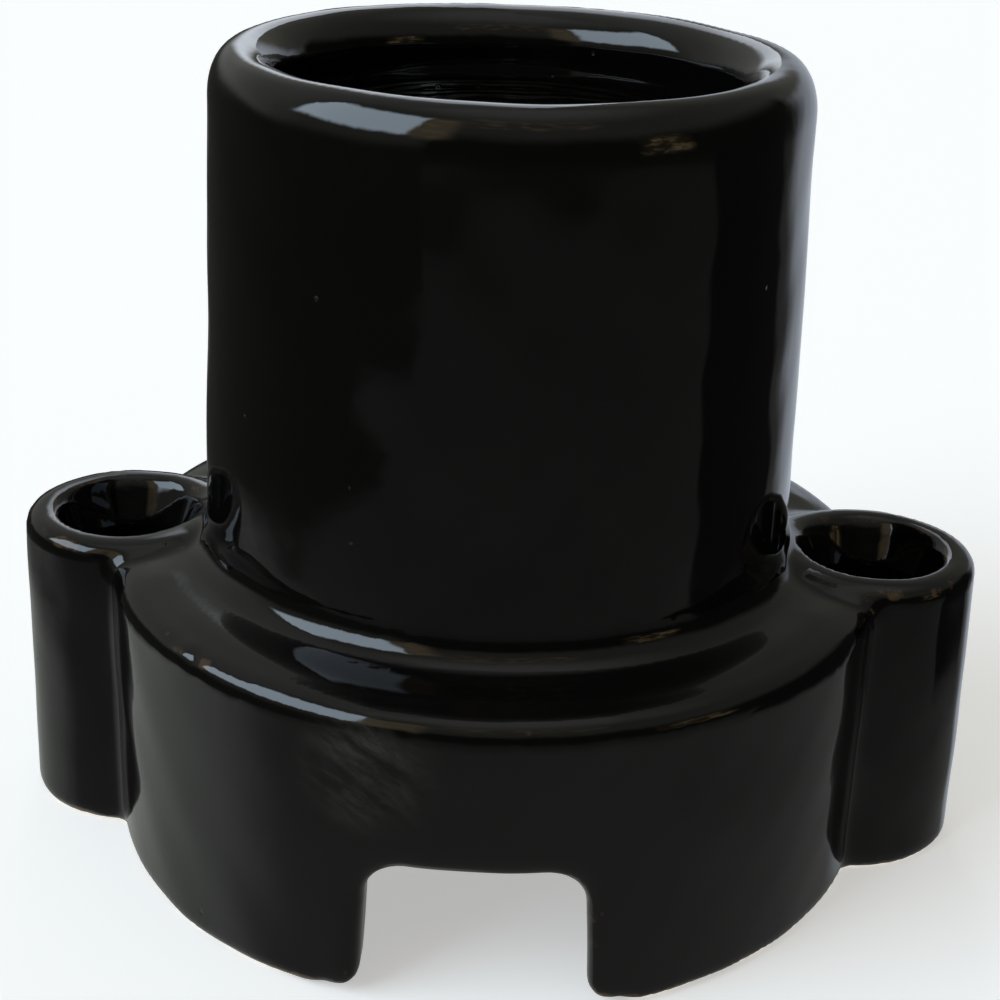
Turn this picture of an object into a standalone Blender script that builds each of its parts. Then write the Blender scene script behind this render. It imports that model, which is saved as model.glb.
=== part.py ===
"""Surface-mounting porcelain lampholder for an Edison-screw lamp, with its metal fittings.

Units are metres and +Z is up. The origin is on the mounting face, on the barrel's axis. The two screw
lugs lie along X and the cable notch faces -Y.
"""

import math

import bmesh
import bpy
from mathutils import Matrix, Vector

# Porcelain, outside.
HEIGHT = 0.0593
BARREL_RADIUS = 0.0210
BARREL_FOOT_RADIUS = 0.0218
CROWN_RADIUS = 0.0189
LIP_DROP_OUTSIDE = 0.0035
LIP_DROP_INSIDE = 0.0028
SHOULDER_HEIGHT = 0.0229
SHOULDER_FALL = 0.0005
COVE_RADIUS = 0.0020
SKIRT_RADIUS = 0.0288
SKIRT_EDGE_RADIUS = 0.0016
FOOT_EDGE_RADIUS = 0.0008

# Porcelain, inside.
BORE_MOUTH_RADIUS = 0.0160
BORE_FLOOR_RADIUS = 0.0150
SEPTUM_TOP = 0.0210
SEPTUM_UNDERSIDE = 0.0155
CAVITY_RADIUS = 0.0240
CAVITY_HALF_WIDTH = 0.0195

# Screw lugs.
LUG_SPACING = 0.0566
LUG_RADIUS = 0.0078
LUG_FOOT_RADIUS = 0.0082
LUG_HEIGHT = 0.0235
LUG_EDGE_RADIUS = 0.0013
LUG_MOUTH_RADIUS = 0.0054
LUG_FUNNEL_DEPTH = 0.0036
COUNTERBORE_RADIUS = 0.0040
COUNTERBORE_FLOOR = 0.0090
LUG_HOLE_RADIUS = 0.0030

# Cable notch.
NOTCH_HEIGHT = 0.0108
NOTCH_TOP_WIDTH = 0.0146
NOTCH_FOOT_WIDTH = 0.0152
NOTCH_CORNER_RADIUS = 0.0028
NOTCH_FLARE_RADIUS = 0.0022
NOTCH_OFFSET = 0.0008

# Screw shell for the E27 thread.
THREAD_PITCH = 0.00363
THREAD_CREST_RADIUS = 0.0134
THREAD_ROOT_RADIUS = 0.01225
THREAD_TURNS = 5
SHEET = 0.0004
SHELL_TOP = 0.0485
SHELL_BEAD_RADIUS = 0.0140
SHELL_FLOOR_HOLE_RADIUS = 0.0072
SHELL_SCREW_CIRCLE = 0.0093
SHELL_SCREW_ANGLES = (180.0, 60.0, 300.0)

# Metal that would touch on the bench keeps this gap in the solids.
GAP = 0.0003

# Fasteners and contacts.
SCREW_RADIUS = 0.0015
SCREW_HOLE_RADIUS = 0.0018
SCREW_HEAD_RADIUS = 0.0026
SCREW_HEAD_HEIGHT = 0.0018
SLOT_WIDTH = 0.0007
WASHER_THICKNESS = 0.0006
WASHER_SPLIT = 0.0005
NUT_ACROSS_FLATS = 0.0055
NUT_HEIGHT = 0.0024
NUT_SCREW_STANDOUT = 0.0008
DISC_THICKNESS = 0.0008
DISC_RADIUS = 0.0132
DISC_HOLE_RADIUS = 0.0063
CONTACT_THICKNESS = 0.0005
CONTACT_WIDTH = 0.0056
CONTACT_BEND_RADIUS = 0.0021
CONTACT_FOOT_REACH = 0.0036
CONTACT_RISE_ANGLE = 12.0
BUTTON_RADIUS = 0.0021
BUTTON_HEIGHT = 0.0009
BUTTON_SHANK_RADIUS = 0.0007
CENTRE_HEAD_HEIGHT = 0.0013

# Terminals.
BLOCK_WIDTH = 0.0070
BLOCK_HEIGHT = 0.0060
BLOCK_END = 0.0034
BLOCK_BEVEL = 0.0004
CLAMP_OFFSET = 0.0094
CLAMP_SCREW_RADIUS = 0.00175
CLAMP_HOLE_RADIUS = 0.0021
CLAMP_HEAD_RADIUS = 0.0030
CLAMP_HEAD_HEIGHT = 0.0022
CLAMP_PLATE_SIDE = 0.0066
CLAMP_PLATE_THICKNESS = 0.0010
CLAMP_SCREW_DEPTH = 0.0045

MERGE = 0.00001
OVERCUT = 0.0020
BODY_STEPS = 64
LUG_STEPS = 32
HOLE_STEPS = 20
SHELL_STEPS = 32
SCREW_STEPS = 16


def clear_scene():
    """Remove every object of the file the script runs in."""
    for obj in list(bpy.data.objects):
        bpy.data.objects.remove(obj)


def make_collection(name):
    """A collection linked to the scene."""
    collection = bpy.data.collections.new(name)
    bpy.context.scene.collection.children.link(collection)
    return collection


def make_material(name, colour, roughness, metallic):
    """A Principled material in one colour."""
    material = bpy.data.materials.new(name)
    material.use_nodes = True
    shader = material.node_tree.nodes["Principled BSDF"]
    shader.inputs["Base Color"].default_value = (*colour, 1.0)
    shader.inputs["Roughness"].default_value = roughness
    shader.inputs["Metallic"].default_value = metallic
    return material


clear_scene()
PARTS = make_collection("porcelain_lampholder")
CUTTERS = make_collection("cutters")

BLACK_GLAZE = make_material("black_glaze", (0.004, 0.004, 0.0035), 0.06, 0.0)
SHELL_NICKEL = make_material("shell_nickel", (0.60, 0.58, 0.54), 0.28, 1.0)
BLOCK_BRASS = make_material("turned_brass", (0.66, 0.47, 0.20), 0.35, 1.0)
BRONZE = make_material("phosphor_bronze", (0.62, 0.36, 0.18), 0.30, 1.0)
SILVER = make_material("contact_silver", (0.80, 0.79, 0.76), 0.25, 1.0)
ZINC = make_material("zinc_plated_steel", (0.62, 0.63, 0.64), 0.35, 1.0)
FIBRE = make_material("vulcanised_fibre", (0.30, 0.09, 0.05), 0.60, 0.0)


# Shape tools.

def arc(centre, radii, start, end, steps):
    """Points on an ellipse in a radius-height plane, from one angle to another in degrees."""
    points = []
    for step in range(steps + 1):
        angle = math.radians(start + (end - start) * step / steps)
        points.append((centre[0] + radii[0] * math.cos(angle), centre[1] + radii[1] * math.sin(angle)))
    return points


def link_mesh(name, mesh, collection, material=None):
    """Put a mesh in the scene as an object."""
    obj = bpy.data.objects.new(name, mesh)
    collection.objects.link(obj)
    if material:
        mesh.materials.clear()
        mesh.materials.append(material)
    return obj


def settle(obj):
    """Turn an object with modifiers, or a curve, into a plain welded mesh in world space."""
    bpy.context.view_layer.update()
    evaluated = obj.evaluated_get(bpy.context.evaluated_depsgraph_get())
    mesh = bpy.data.meshes.new_from_object(evaluated)
    mesh.transform(obj.matrix_world)
    weld = bmesh.new()
    weld.from_mesh(mesh)
    bmesh.ops.remove_doubles(weld, verts=weld.verts, dist=MERGE)
    weld.to_mesh(mesh)
    weld.free()
    collection = obj.users_collection[0]
    name = obj.name
    bpy.data.objects.remove(obj)
    return link_mesh(name, mesh, collection)


def turned(name, profile, steps, collection, place=(0.0, 0.0)):
    """A turned solid from a profile of (radius, height) points that runs down its outer side."""
    mesh = bpy.data.meshes.new(name)
    points = [(radius, 0.0, height) for radius, height in profile]
    edges = [(index, index + 1) for index in range(len(points) - 1)]
    if profile[0][0] > 0.0 and profile[-1][0] > 0.0:
        edges.append((len(points) - 1, 0))
    mesh.from_pydata(points, edges, [])
    obj = link_mesh(name, mesh, collection)
    screw = obj.modifiers.new("turn", "SCREW")
    screw.steps = steps
    screw.render_steps = steps
    screw.use_merge_vertices = True
    screw.merge_threshold = MERGE
    obj.location = (place[0], place[1], 0.0)
    return settle(obj)


def prism(name, outline, low, high, collection, along="Z"):
    """A flat outline given thickness along Z, or along Y with the outline standing up in X and Z."""
    curve = bpy.data.curves.new(name, "CURVE")
    curve.dimensions = "2D"
    curve.fill_mode = "BOTH"
    curve.extrude = (high - low) / 2.0
    spline = curve.splines.new("POLY")
    spline.points.add(len(outline) - 1)
    for point, (across, up) in zip(spline.points, outline):
        point.co = (across, up, 0.0, 1.0)
    spline.use_cyclic_u = True
    obj = bpy.data.objects.new(name, curve)
    collection.objects.link(obj)
    middle = (low + high) / 2.0
    if along == "Z":
        obj.location = (0.0, 0.0, middle)
    else:
        obj.rotation_euler = (math.radians(90.0), 0.0, 0.0)
        obj.location = (0.0, middle, 0.0)
    return settle(obj)


def box(name, low, high, collection):
    """A box between two corners."""
    mesh = bpy.data.meshes.new(name)
    shape = bmesh.new()
    bmesh.ops.create_cube(shape, size=1.0)
    size = Vector(high) - Vector(low)
    centre = (Vector(high) + Vector(low)) / 2.0
    shape.transform(Matrix.Translation(centre) @ Matrix.Diagonal((*size, 1.0)))
    shape.to_mesh(mesh)
    shape.free()
    return link_mesh(name, mesh, collection)


def rod(name, radius, low, high, place, collection, steps=HOLE_STEPS):
    """A plain cylinder on a vertical axis."""
    return turned(name, [(0.0, high), (radius, high), (radius, low), (0.0, low)], steps, collection, place)


def combine(obj, tool, operation):
    """Boolean one solid with another and keep the tool as a hidden guide."""
    tool.hide_render = True
    tool.display_type = "WIRE"
    change = obj.modifiers.new(operation.lower(), "BOOLEAN")
    change.operation = operation
    change.solver = "EXACT"
    change.object = tool
    return settle(obj)


def finish(obj, material, edge_angle=35.0):
    """Give a part its material and smooth shading."""
    obj.data.materials.clear()
    obj.data.materials.append(material)
    obj.data.shade_smooth()
    obj.data.set_sharp_from_angle(angle=math.radians(edge_angle))
    return obj


def on_circle(radius, angle):
    """A place in plan at an angle in degrees."""
    return (radius * math.cos(math.radians(angle)), radius * math.sin(math.radians(angle)))


# Heights of the stack inside the bore, from the porcelain floor upwards.
DISC_LOW = SEPTUM_TOP + GAP
SHELL_LOW = DISC_LOW + DISC_THICKNESS + GAP
SHELL_WASHER_LOW = SHELL_LOW + SHEET + GAP
SHELL_HEAD_LOW = SHELL_WASHER_LOW + WASHER_THICKNESS + GAP
CONTACT_LOW = SEPTUM_TOP + GAP
CENTRE_WASHER_LOW = CONTACT_LOW + CONTACT_THICKNESS + GAP
CENTRE_HEAD_LOW = CENTRE_WASHER_LOW + WASHER_THICKNESS + GAP

# Heights of the terminals, from the septum downwards.
BLOCK_HIGH = SEPTUM_UNDERSIDE - GAP
BLOCK_LOW = BLOCK_HIGH - BLOCK_HEIGHT
PLATE_HIGH = BLOCK_LOW - GAP
PLATE_LOW = PLATE_HIGH - CLAMP_PLATE_THICKNESS
CLAMP_WASHER_HIGH = PLATE_LOW - GAP
CLAMP_WASHER_LOW = CLAMP_WASHER_HIGH - WASHER_THICKNESS
CLAMP_HEAD_HIGH = CLAMP_WASHER_LOW - GAP
CLAMP_HEAD_LOW = CLAMP_HEAD_HIGH - CLAMP_HEAD_HEIGHT
BLOCK_SCREW_END = BLOCK_LOW + 0.0010


# Porcelain.

def body_profile():
    """Bore, lip, barrel, cove, shoulder and skirt in one line, down the outer side."""
    lip_low = HEIGHT - LIP_DROP_OUTSIDE
    flare = arc((CROWN_RADIUS, HEIGHT - LIP_DROP_INSIDE),
                (CROWN_RADIUS - BORE_MOUTH_RADIUS, LIP_DROP_INSIDE), 180.0, 90.0, 6)
    lip = arc((CROWN_RADIUS, lip_low), (BARREL_RADIUS - CROWN_RADIUS, LIP_DROP_OUTSIDE), 90.0, 0.0, 6)
    cove = arc((BARREL_FOOT_RADIUS + COVE_RADIUS, SHOULDER_HEIGHT + COVE_RADIUS),
               (COVE_RADIUS, COVE_RADIUS), 180.0, 270.0, 5)
    edge_top = SHOULDER_HEIGHT - SHOULDER_FALL
    edge = arc((SKIRT_RADIUS - SKIRT_EDGE_RADIUS, edge_top - SKIRT_EDGE_RADIUS),
               (SKIRT_EDGE_RADIUS, SKIRT_EDGE_RADIUS), 90.0, 0.0, 4)
    foot = arc((SKIRT_RADIUS - FOOT_EDGE_RADIUS, FOOT_EDGE_RADIUS),
               (FOOT_EDGE_RADIUS, FOOT_EDGE_RADIUS), 0.0, -90.0, 2)
    bore = [(0.0, SEPTUM_TOP), (BORE_FLOOR_RADIUS, SEPTUM_TOP)]
    return bore + flare + lip[1:] + cove + edge + foot + [(0.0, 0.0)]


def lug_profile():
    """One full-height lug, down its outer side."""
    top = arc((LUG_RADIUS - LUG_EDGE_RADIUS, LUG_HEIGHT - LUG_EDGE_RADIUS),
              (LUG_EDGE_RADIUS, LUG_EDGE_RADIUS), 90.0, 0.0, 3)
    foot = arc((LUG_FOOT_RADIUS - FOOT_EDGE_RADIUS, FOOT_EDGE_RADIUS),
               (FOOT_EDGE_RADIUS, FOOT_EDGE_RADIUS), 0.0, -90.0, 2)
    return [(0.0, LUG_HEIGHT)] + top + foot + [(0.0, 0.0)]


def lug_hole_profile():
    """Funnel mouth, counterbore and clearance hole of a lug."""
    return [(0.0, LUG_HEIGHT + OVERCUT), (LUG_MOUTH_RADIUS, LUG_HEIGHT + OVERCUT),
            (LUG_MOUTH_RADIUS, LUG_HEIGHT), (COUNTERBORE_RADIUS, LUG_HEIGHT - LUG_FUNNEL_DEPTH),
            (COUNTERBORE_RADIUS, COUNTERBORE_FLOOR), (LUG_HOLE_RADIUS, COUNTERBORE_FLOOR),
            (LUG_HOLE_RADIUS, -OVERCUT), (0.0, -OVERCUT)]


def cavity_outline():
    """Plan of the wiring cavity: a round with flats towards the lugs."""
    corner = math.degrees(math.acos(CAVITY_HALF_WIDTH / CAVITY_RADIUS))
    round_end = (CAVITY_RADIUS, CAVITY_RADIUS)
    back = arc((0.0, 0.0), round_end, corner, 180.0 - corner, 20)
    front = arc((0.0, 0.0), round_end, 180.0 + corner, 360.0 - corner, 20)
    return back + front


def notch_outline():
    """Arch of the cable notch, seen from the front, with its foot flared outwards."""
    half_top = NOTCH_TOP_WIDTH / 2.0
    half_foot = NOTCH_FOOT_WIDTH / 2.0
    corner = NOTCH_CORNER_RADIUS
    flare = NOTCH_FLARE_RADIUS
    foot = arc((half_foot + flare, flare), (flare, flare), 270.0, 180.0, 4)
    top = arc((half_top - corner, NOTCH_HEIGHT - corner), (corner, corner), 0.0, 90.0, 5)
    right = [(half_foot + flare, -OVERCUT)] + foot + top
    left = [(-across, up) for across, up in reversed(right)]
    return [(NOTCH_OFFSET + across, up) for across, up in right + left]


def porcelain_body():
    """The pressed porcelain body with its lugs, bore, cavity, notch and holes."""
    body = turned("porcelain_body", body_profile(), BODY_STEPS, PARTS)
    for side in (-1.0, 1.0):
        place = (side * LUG_SPACING / 2.0, 0.0)
        body = combine(body, turned("lug", lug_profile(), LUG_STEPS, CUTTERS, place), "UNION")
    cavity = prism("cavity", cavity_outline(), -OVERCUT, SEPTUM_UNDERSIDE, CUTTERS)
    body = combine(body, cavity, "DIFFERENCE")
    notch = prism("notch", notch_outline(), -SKIRT_RADIUS - OVERCUT, -CAVITY_HALF_WIDTH, CUTTERS, "Y")
    body = combine(body, notch, "DIFFERENCE")
    for side in (-1.0, 1.0):
        place = (side * LUG_SPACING / 2.0, 0.0)
        hole = turned("lug_hole", lug_hole_profile(), HOLE_STEPS, CUTTERS, place)
        body = combine(body, hole, "DIFFERENCE")
    places = [(0.0, 0.0)] + [on_circle(SHELL_SCREW_CIRCLE, angle) for angle in SHELL_SCREW_ANGLES]
    for place in places:
        hole = rod("septum_hole", SCREW_HOLE_RADIUS, SEPTUM_UNDERSIDE - OVERCUT, SEPTUM_TOP + OVERCUT,
                   place, CUTTERS, SCREW_STEPS)
        body = combine(body, hole, "DIFFERENCE")
    return finish(body, BLACK_GLAZE)


# Screw shell and the pieces that hold it.

def thread_height(turn):
    """Height of the thread after a number of turns down from the top of the shell."""
    return SHELL_TOP - 0.0022 - turn * THREAD_PITCH


def shell_outside():
    """Outer side of the shell from its top bead down to its floor, with a ring for each thread."""
    middle = (THREAD_CREST_RADIUS + THREAD_ROOT_RADIUS) / 2.0
    depth = (THREAD_CREST_RADIUS - THREAD_ROOT_RADIUS) / 2.0
    points = [(SHELL_BEAD_RADIUS, SHELL_TOP), (THREAD_CREST_RADIUS + SHEET, SHELL_TOP - 0.0010)]
    samples = 4
    for step in range(THREAD_TURNS * samples + 1):
        turn = step / samples
        wave = math.cos(2.0 * math.pi * turn)
        points.append((middle + depth * wave + SHEET, thread_height(turn)))
    floor_corner = SHELL_LOW + 0.0010
    points.append((THREAD_CREST_RADIUS + SHEET - 0.0006, floor_corner))
    points.append((THREAD_CREST_RADIUS + SHEET - 0.0014, SHELL_LOW))
    return points


def screw_shell():
    """Rolled and nickel-plated shell with an inward floor."""
    outside = shell_outside()
    inside = [(radius - SHEET, height) for radius, height in reversed(outside[1:-1])]
    floor_top = SHELL_LOW + SHEET
    profile = outside + [(SHELL_FLOOR_HOLE_RADIUS, SHELL_LOW), (SHELL_FLOOR_HOLE_RADIUS, floor_top),
                         (outside[-1][0] - SHEET / 2.0, floor_top)]
    profile += inside + [(SHELL_BEAD_RADIUS - SHEET, SHELL_TOP)]
    shell = turned("screw_shell", profile, SHELL_STEPS, PARTS)
    for angle in SHELL_SCREW_ANGLES:
        hole = rod("shell_hole", SCREW_HOLE_RADIUS, SHELL_LOW - 0.001, floor_top + 0.0004,
                   on_circle(SHELL_SCREW_CIRCLE, angle), CUTTERS, SCREW_STEPS)
        shell = combine(shell, hole, "DIFFERENCE")
    return finish(shell, SHELL_NICKEL)


def insulating_disc():
    """Fibre disc that keeps the shell off the porcelain floor."""
    high = DISC_LOW + DISC_THICKNESS
    profile = [(DISC_RADIUS, high), (DISC_RADIUS, DISC_LOW), (DISC_HOLE_RADIUS, DISC_LOW),
               (DISC_HOLE_RADIUS, high)]
    disc = turned("insulating_disc", profile, SHELL_STEPS, PARTS)
    for angle in SHELL_SCREW_ANGLES:
        hole = rod("disc_hole", SCREW_HOLE_RADIUS, DISC_LOW - 0.001, high + 0.0004,
                   on_circle(SHELL_SCREW_CIRCLE, angle), CUTTERS, SCREW_STEPS)
        disc = combine(disc, hole, "DIFFERENCE")
    return finish(disc, FIBRE)


def slotted_screw(name, head, shank, place, slot_angle, head_up=True):
    """A cheese-head screw: head is (radius, low, high) and shank is (radius, end height)."""
    head_radius, low, high = head
    shank_radius, end = shank
    chamfer = 0.0003
    if head_up:
        profile = [(0.0, high), (head_radius - chamfer, high), (head_radius, high - chamfer),
                   (head_radius, low), (shank_radius, low), (shank_radius, end + chamfer),
                   (shank_radius - chamfer, end), (0.0, end)]
        slot_low, slot_high = high - (high - low) * 0.5, high + 0.001
    else:
        profile = [(0.0, end), (shank_radius - chamfer, end), (shank_radius, end - chamfer),
                   (shank_radius, high), (head_radius, high), (head_radius, low + chamfer),
                   (head_radius - chamfer, low), (0.0, low)]
        slot_low, slot_high = low - 0.001, low + (high - low) * 0.5
    screw = turned(name, profile, SCREW_STEPS, PARTS, place)
    slot = box("slot", (-head_radius * 1.3, -SLOT_WIDTH / 2.0, slot_low),
               (head_radius * 1.3, SLOT_WIDTH / 2.0, slot_high), CUTTERS)
    slot.rotation_euler = (0.0, 0.0, math.radians(slot_angle))
    slot.location = (place[0], place[1], 0.0)
    screw = combine(screw, slot, "DIFFERENCE")
    return finish(screw, ZINC)


def ring(name, radius, hole_radius, low, high, place, material, split_angle=None):
    """A plain washer, or a spring washer where it is split."""
    profile = [(radius, high), (radius, low), (hole_radius, low), (hole_radius, high)]
    washer = turned(name, profile, SCREW_STEPS, PARTS, place)
    if split_angle is not None:
        split = box("split", (0.0, -WASHER_SPLIT / 2.0, low - 0.001),
                    (radius * 1.5, WASHER_SPLIT / 2.0, high + 0.001), CUTTERS)
        split.rotation_euler = (0.0, 0.0, math.radians(split_angle))
        split.location = (place[0], place[1], 0.0)
        washer = combine(washer, split, "DIFFERENCE")
    return finish(washer, material)


def nut(name, place, high):
    """A hexagon nut with its flats along X."""
    corner_radius = NUT_ACROSS_FLATS / math.sqrt(3.0)
    outline = [on_circle(corner_radius, 60.0 * index) for index in range(6)]
    hexagon = prism(name, [(place[0] + x, place[1] + y) for x, y in outline], high - NUT_HEIGHT, high, PARTS)
    hole = rod("nut_hole", SCREW_HOLE_RADIUS, high - NUT_HEIGHT - 0.001, high + 0.001, place, CUTTERS,
               SCREW_STEPS)
    return finish(combine(hexagon, hole, "DIFFERENCE"), ZINC)


def shell_fasteners():
    """Screws, spring washers and nuts that hold the shell down through the septum."""
    head = (SCREW_HEAD_RADIUS, SHELL_HEAD_LOW, SHELL_HEAD_LOW + SCREW_HEAD_HEIGHT)
    nut_high = SEPTUM_UNDERSIDE - GAP
    for index, angle in enumerate(SHELL_SCREW_ANGLES, start=1):
        place = on_circle(SHELL_SCREW_CIRCLE, angle)
        ends_in_terminal = index == 1
        end = BLOCK_SCREW_END if ends_in_terminal else nut_high - NUT_HEIGHT - NUT_SCREW_STANDOUT
        slotted_screw(f"shell_screw_{index}", head, (SCREW_RADIUS, end), place, 25.0 * index)
        ring(f"shell_washer_{index}", SCREW_HEAD_RADIUS, SCREW_HOLE_RADIUS, SHELL_WASHER_LOW,
             SHELL_WASHER_LOW + WASHER_THICKNESS, place, ZINC, 40.0 + 70.0 * index)
        if not ends_in_terminal:
            nut(f"shell_nut_{index}", place, nut_high)


# Centre contact.

def contact_line():
    """Middle line of the folded strip, seen along Y, from its foot round to its free end."""
    low = CONTACT_LOW + CONTACT_THICKNESS / 2.0
    bend_centre = (CONTACT_FOOT_REACH, low + CONTACT_BEND_RADIUS)
    bend = arc(bend_centre, (CONTACT_BEND_RADIUS, CONTACT_BEND_RADIUS), -90.0,
               90.0 - CONTACT_RISE_ANGLE, 8)
    start = bend[-1]
    slope = math.tan(math.radians(CONTACT_RISE_ANGLE))
    crest_length = 0.0018
    rise_end = (crest_length / 2.0, start[1] + (start[0] - crest_length / 2.0) * slope)
    crest = [rise_end, (-crest_length / 2.0, rise_end[1] + 0.0001)]
    tip = [(-0.0032, rise_end[1] - 0.0006), (-0.0044, rise_end[1] - 0.0016)]
    return [(-0.0034, low)] + bend + crest + tip


def offset_line(line, distance):
    """The line moved sideways by a distance, to the left of its direction."""
    moved = []
    for index, point in enumerate(line):
        before = Vector(line[max(index - 1, 0)])
        after = Vector(line[min(index + 1, len(line) - 1)])
        along = (after - before).normalized()
        side = Vector((-along.y, along.x))
        moved.append(tuple(Vector(point) + side * distance))
    return moved


def crest_height():
    """Top of the strip under the button."""
    return max(height for _, height in contact_line()) + CONTACT_THICKNESS / 2.0


def centre_contact():
    """Folded phosphor-bronze strip with holes for its screw and its button."""
    line = contact_line()
    half = CONTACT_THICKNESS / 2.0
    outline = offset_line(line, -half) + list(reversed(offset_line(line, half)))
    strip = prism("centre_contact", outline, -CONTACT_WIDTH / 2.0, CONTACT_WIDTH / 2.0, PARTS, "Y")
    middle = (CONTACT_LOW + crest_height()) / 2.0
    screw_hole = rod("contact_screw_hole", SCREW_HOLE_RADIUS, CONTACT_LOW - 0.001, middle, (0.0, 0.0),
                     CUTTERS, SCREW_STEPS)
    strip = combine(strip, screw_hole, "DIFFERENCE")
    button_hole = rod("contact_button_hole", BUTTON_SHANK_RADIUS + GAP, middle, crest_height() + 0.001,
                      (0.0, 0.0), CUTTERS, SCREW_STEPS)
    return finish(combine(strip, button_hole, "DIFFERENCE"), BRONZE)


def contact_button():
    """Rivet button on the free leg of the strip."""
    low = crest_height() + GAP
    dome = arc((0.0, low + BUTTON_HEIGHT * 0.4), (BUTTON_RADIUS, BUTTON_HEIGHT * 0.6), 90.0, 0.0, 4)
    shank_end = crest_height() - CONTACT_THICKNESS - 0.0002
    profile = dome + [(BUTTON_RADIUS, low), (BUTTON_SHANK_RADIUS, low), (BUTTON_SHANK_RADIUS, shank_end),
                      (0.0, shank_end)]
    return finish(turned("contact_button", profile, SCREW_STEPS, PARTS), SILVER)


def centre_fixing():
    """Screw and washer that hold the strip down and reach the live terminal."""
    head = (SCREW_HEAD_RADIUS, CENTRE_HEAD_LOW, CENTRE_HEAD_LOW + CENTRE_HEAD_HEIGHT)
    slotted_screw("centre_screw", head, (SCREW_RADIUS, BLOCK_SCREW_END), (0.0, 0.0), 90.0)
    ring("centre_washer", SCREW_HEAD_RADIUS, SCREW_HOLE_RADIUS, CENTRE_WASHER_LOW,
         CENTRE_WASHER_LOW + WASHER_THICKNESS, (0.0, 0.0), ZINC)


# Terminals.

def terminal(name, fixing, clamp):
    """A brass block from its fixing hole to its clamp hole, with its clamp plate, washer and screw."""
    reach = BLOCK_WIDTH / 2.0
    low = (min(fixing[0], clamp[0]) - BLOCK_END, min(fixing[1], clamp[1]) - BLOCK_END, BLOCK_LOW)
    high = (max(fixing[0], clamp[0]) + BLOCK_END, max(fixing[1], clamp[1]) + BLOCK_END, BLOCK_HIGH)
    if fixing[1] == clamp[1]:
        low, high = (low[0], fixing[1] - reach, low[2]), (high[0], fixing[1] + reach, high[2])
    else:
        low, high = (fixing[0] - reach, low[1], low[2]), (fixing[0] + reach, high[1], high[2])
    block = box(f"{name}_terminal", low, high, PARTS)
    bevel = block.modifiers.new("edges", "BEVEL")
    bevel.width = BLOCK_BEVEL
    bevel.segments = 1
    block = settle(block)
    for place, radius in ((fixing, SCREW_HOLE_RADIUS), (clamp, CLAMP_HOLE_RADIUS)):
        hole = rod("block_hole", radius, BLOCK_LOW - 0.001, BLOCK_HIGH + 0.001, place, CUTTERS, SCREW_STEPS)
        block = combine(block, hole, "DIFFERENCE")
    finish(block, BLOCK_BRASS)
    clamp_plate(f"{name}_clamp_plate", clamp)
    ring(f"{name}_clamp_washer", CLAMP_HEAD_RADIUS, CLAMP_HOLE_RADIUS, CLAMP_WASHER_LOW,
         CLAMP_WASHER_HIGH, clamp, ZINC, 135.0)
    head = (CLAMP_HEAD_RADIUS, CLAMP_HEAD_LOW, CLAMP_HEAD_HIGH)
    end = BLOCK_LOW + CLAMP_SCREW_DEPTH
    slotted_screw(f"{name}_clamp_screw", head, (CLAMP_SCREW_RADIUS, end), clamp, 30.0, head_up=False)


def clamp_plate(name, place):
    """Square clamp plate under a terminal block."""
    half = CLAMP_PLATE_SIDE / 2.0
    plate = box(name, (place[0] - half, place[1] - half, PLATE_LOW),
                (place[0] + half, place[1] + half, PLATE_HIGH), PARTS)
    bevel = plate.modifiers.new("edges", "BEVEL")
    bevel.width = BLOCK_BEVEL / 2.0
    bevel.segments = 1
    plate = settle(plate)
    hole = rod("plate_hole", CLAMP_HOLE_RADIUS, PLATE_LOW - 0.001, PLATE_HIGH + 0.001, place, CUTTERS,
               SCREW_STEPS)
    return finish(combine(plate, hole, "DIFFERENCE"), BLOCK_BRASS)


def terminals():
    """Live terminal from the centre towards +X and neutral terminal at the first shell screw."""
    terminal("live", (0.0, 0.0), (CLAMP_OFFSET, 0.0))
    neutral = (-SHELL_SCREW_CIRCLE, 0.0)
    terminal("neutral", neutral, (neutral[0], neutral[1] - CLAMP_OFFSET))


porcelain_body()
screw_shell()
insulating_disc()
shell_fasteners()
centre_contact()
contact_button()
centre_fixing()
terminals()
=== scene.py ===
"""Looks of the black-glazed porcelain lampholder. Metres, in the frame of the CAD model."""
import math

import bmesh
import bpy
import numpy as np
from mathutils import Matrix, Vector


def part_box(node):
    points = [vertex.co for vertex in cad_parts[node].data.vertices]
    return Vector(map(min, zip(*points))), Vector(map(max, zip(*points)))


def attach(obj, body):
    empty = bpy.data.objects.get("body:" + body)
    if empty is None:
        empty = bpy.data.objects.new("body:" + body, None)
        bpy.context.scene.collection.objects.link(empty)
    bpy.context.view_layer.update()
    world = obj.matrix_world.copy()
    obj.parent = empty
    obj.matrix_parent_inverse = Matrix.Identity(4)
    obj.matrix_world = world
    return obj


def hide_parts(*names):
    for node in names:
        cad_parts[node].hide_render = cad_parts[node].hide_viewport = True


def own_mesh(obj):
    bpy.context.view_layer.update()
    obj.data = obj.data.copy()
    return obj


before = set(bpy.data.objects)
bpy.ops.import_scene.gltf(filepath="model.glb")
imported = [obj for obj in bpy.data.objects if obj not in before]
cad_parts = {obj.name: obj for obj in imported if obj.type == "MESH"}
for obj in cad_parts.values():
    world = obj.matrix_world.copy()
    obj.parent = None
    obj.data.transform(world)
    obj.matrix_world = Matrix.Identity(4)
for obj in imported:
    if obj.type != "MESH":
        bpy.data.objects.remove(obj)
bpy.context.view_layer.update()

MM = 0.001

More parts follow.
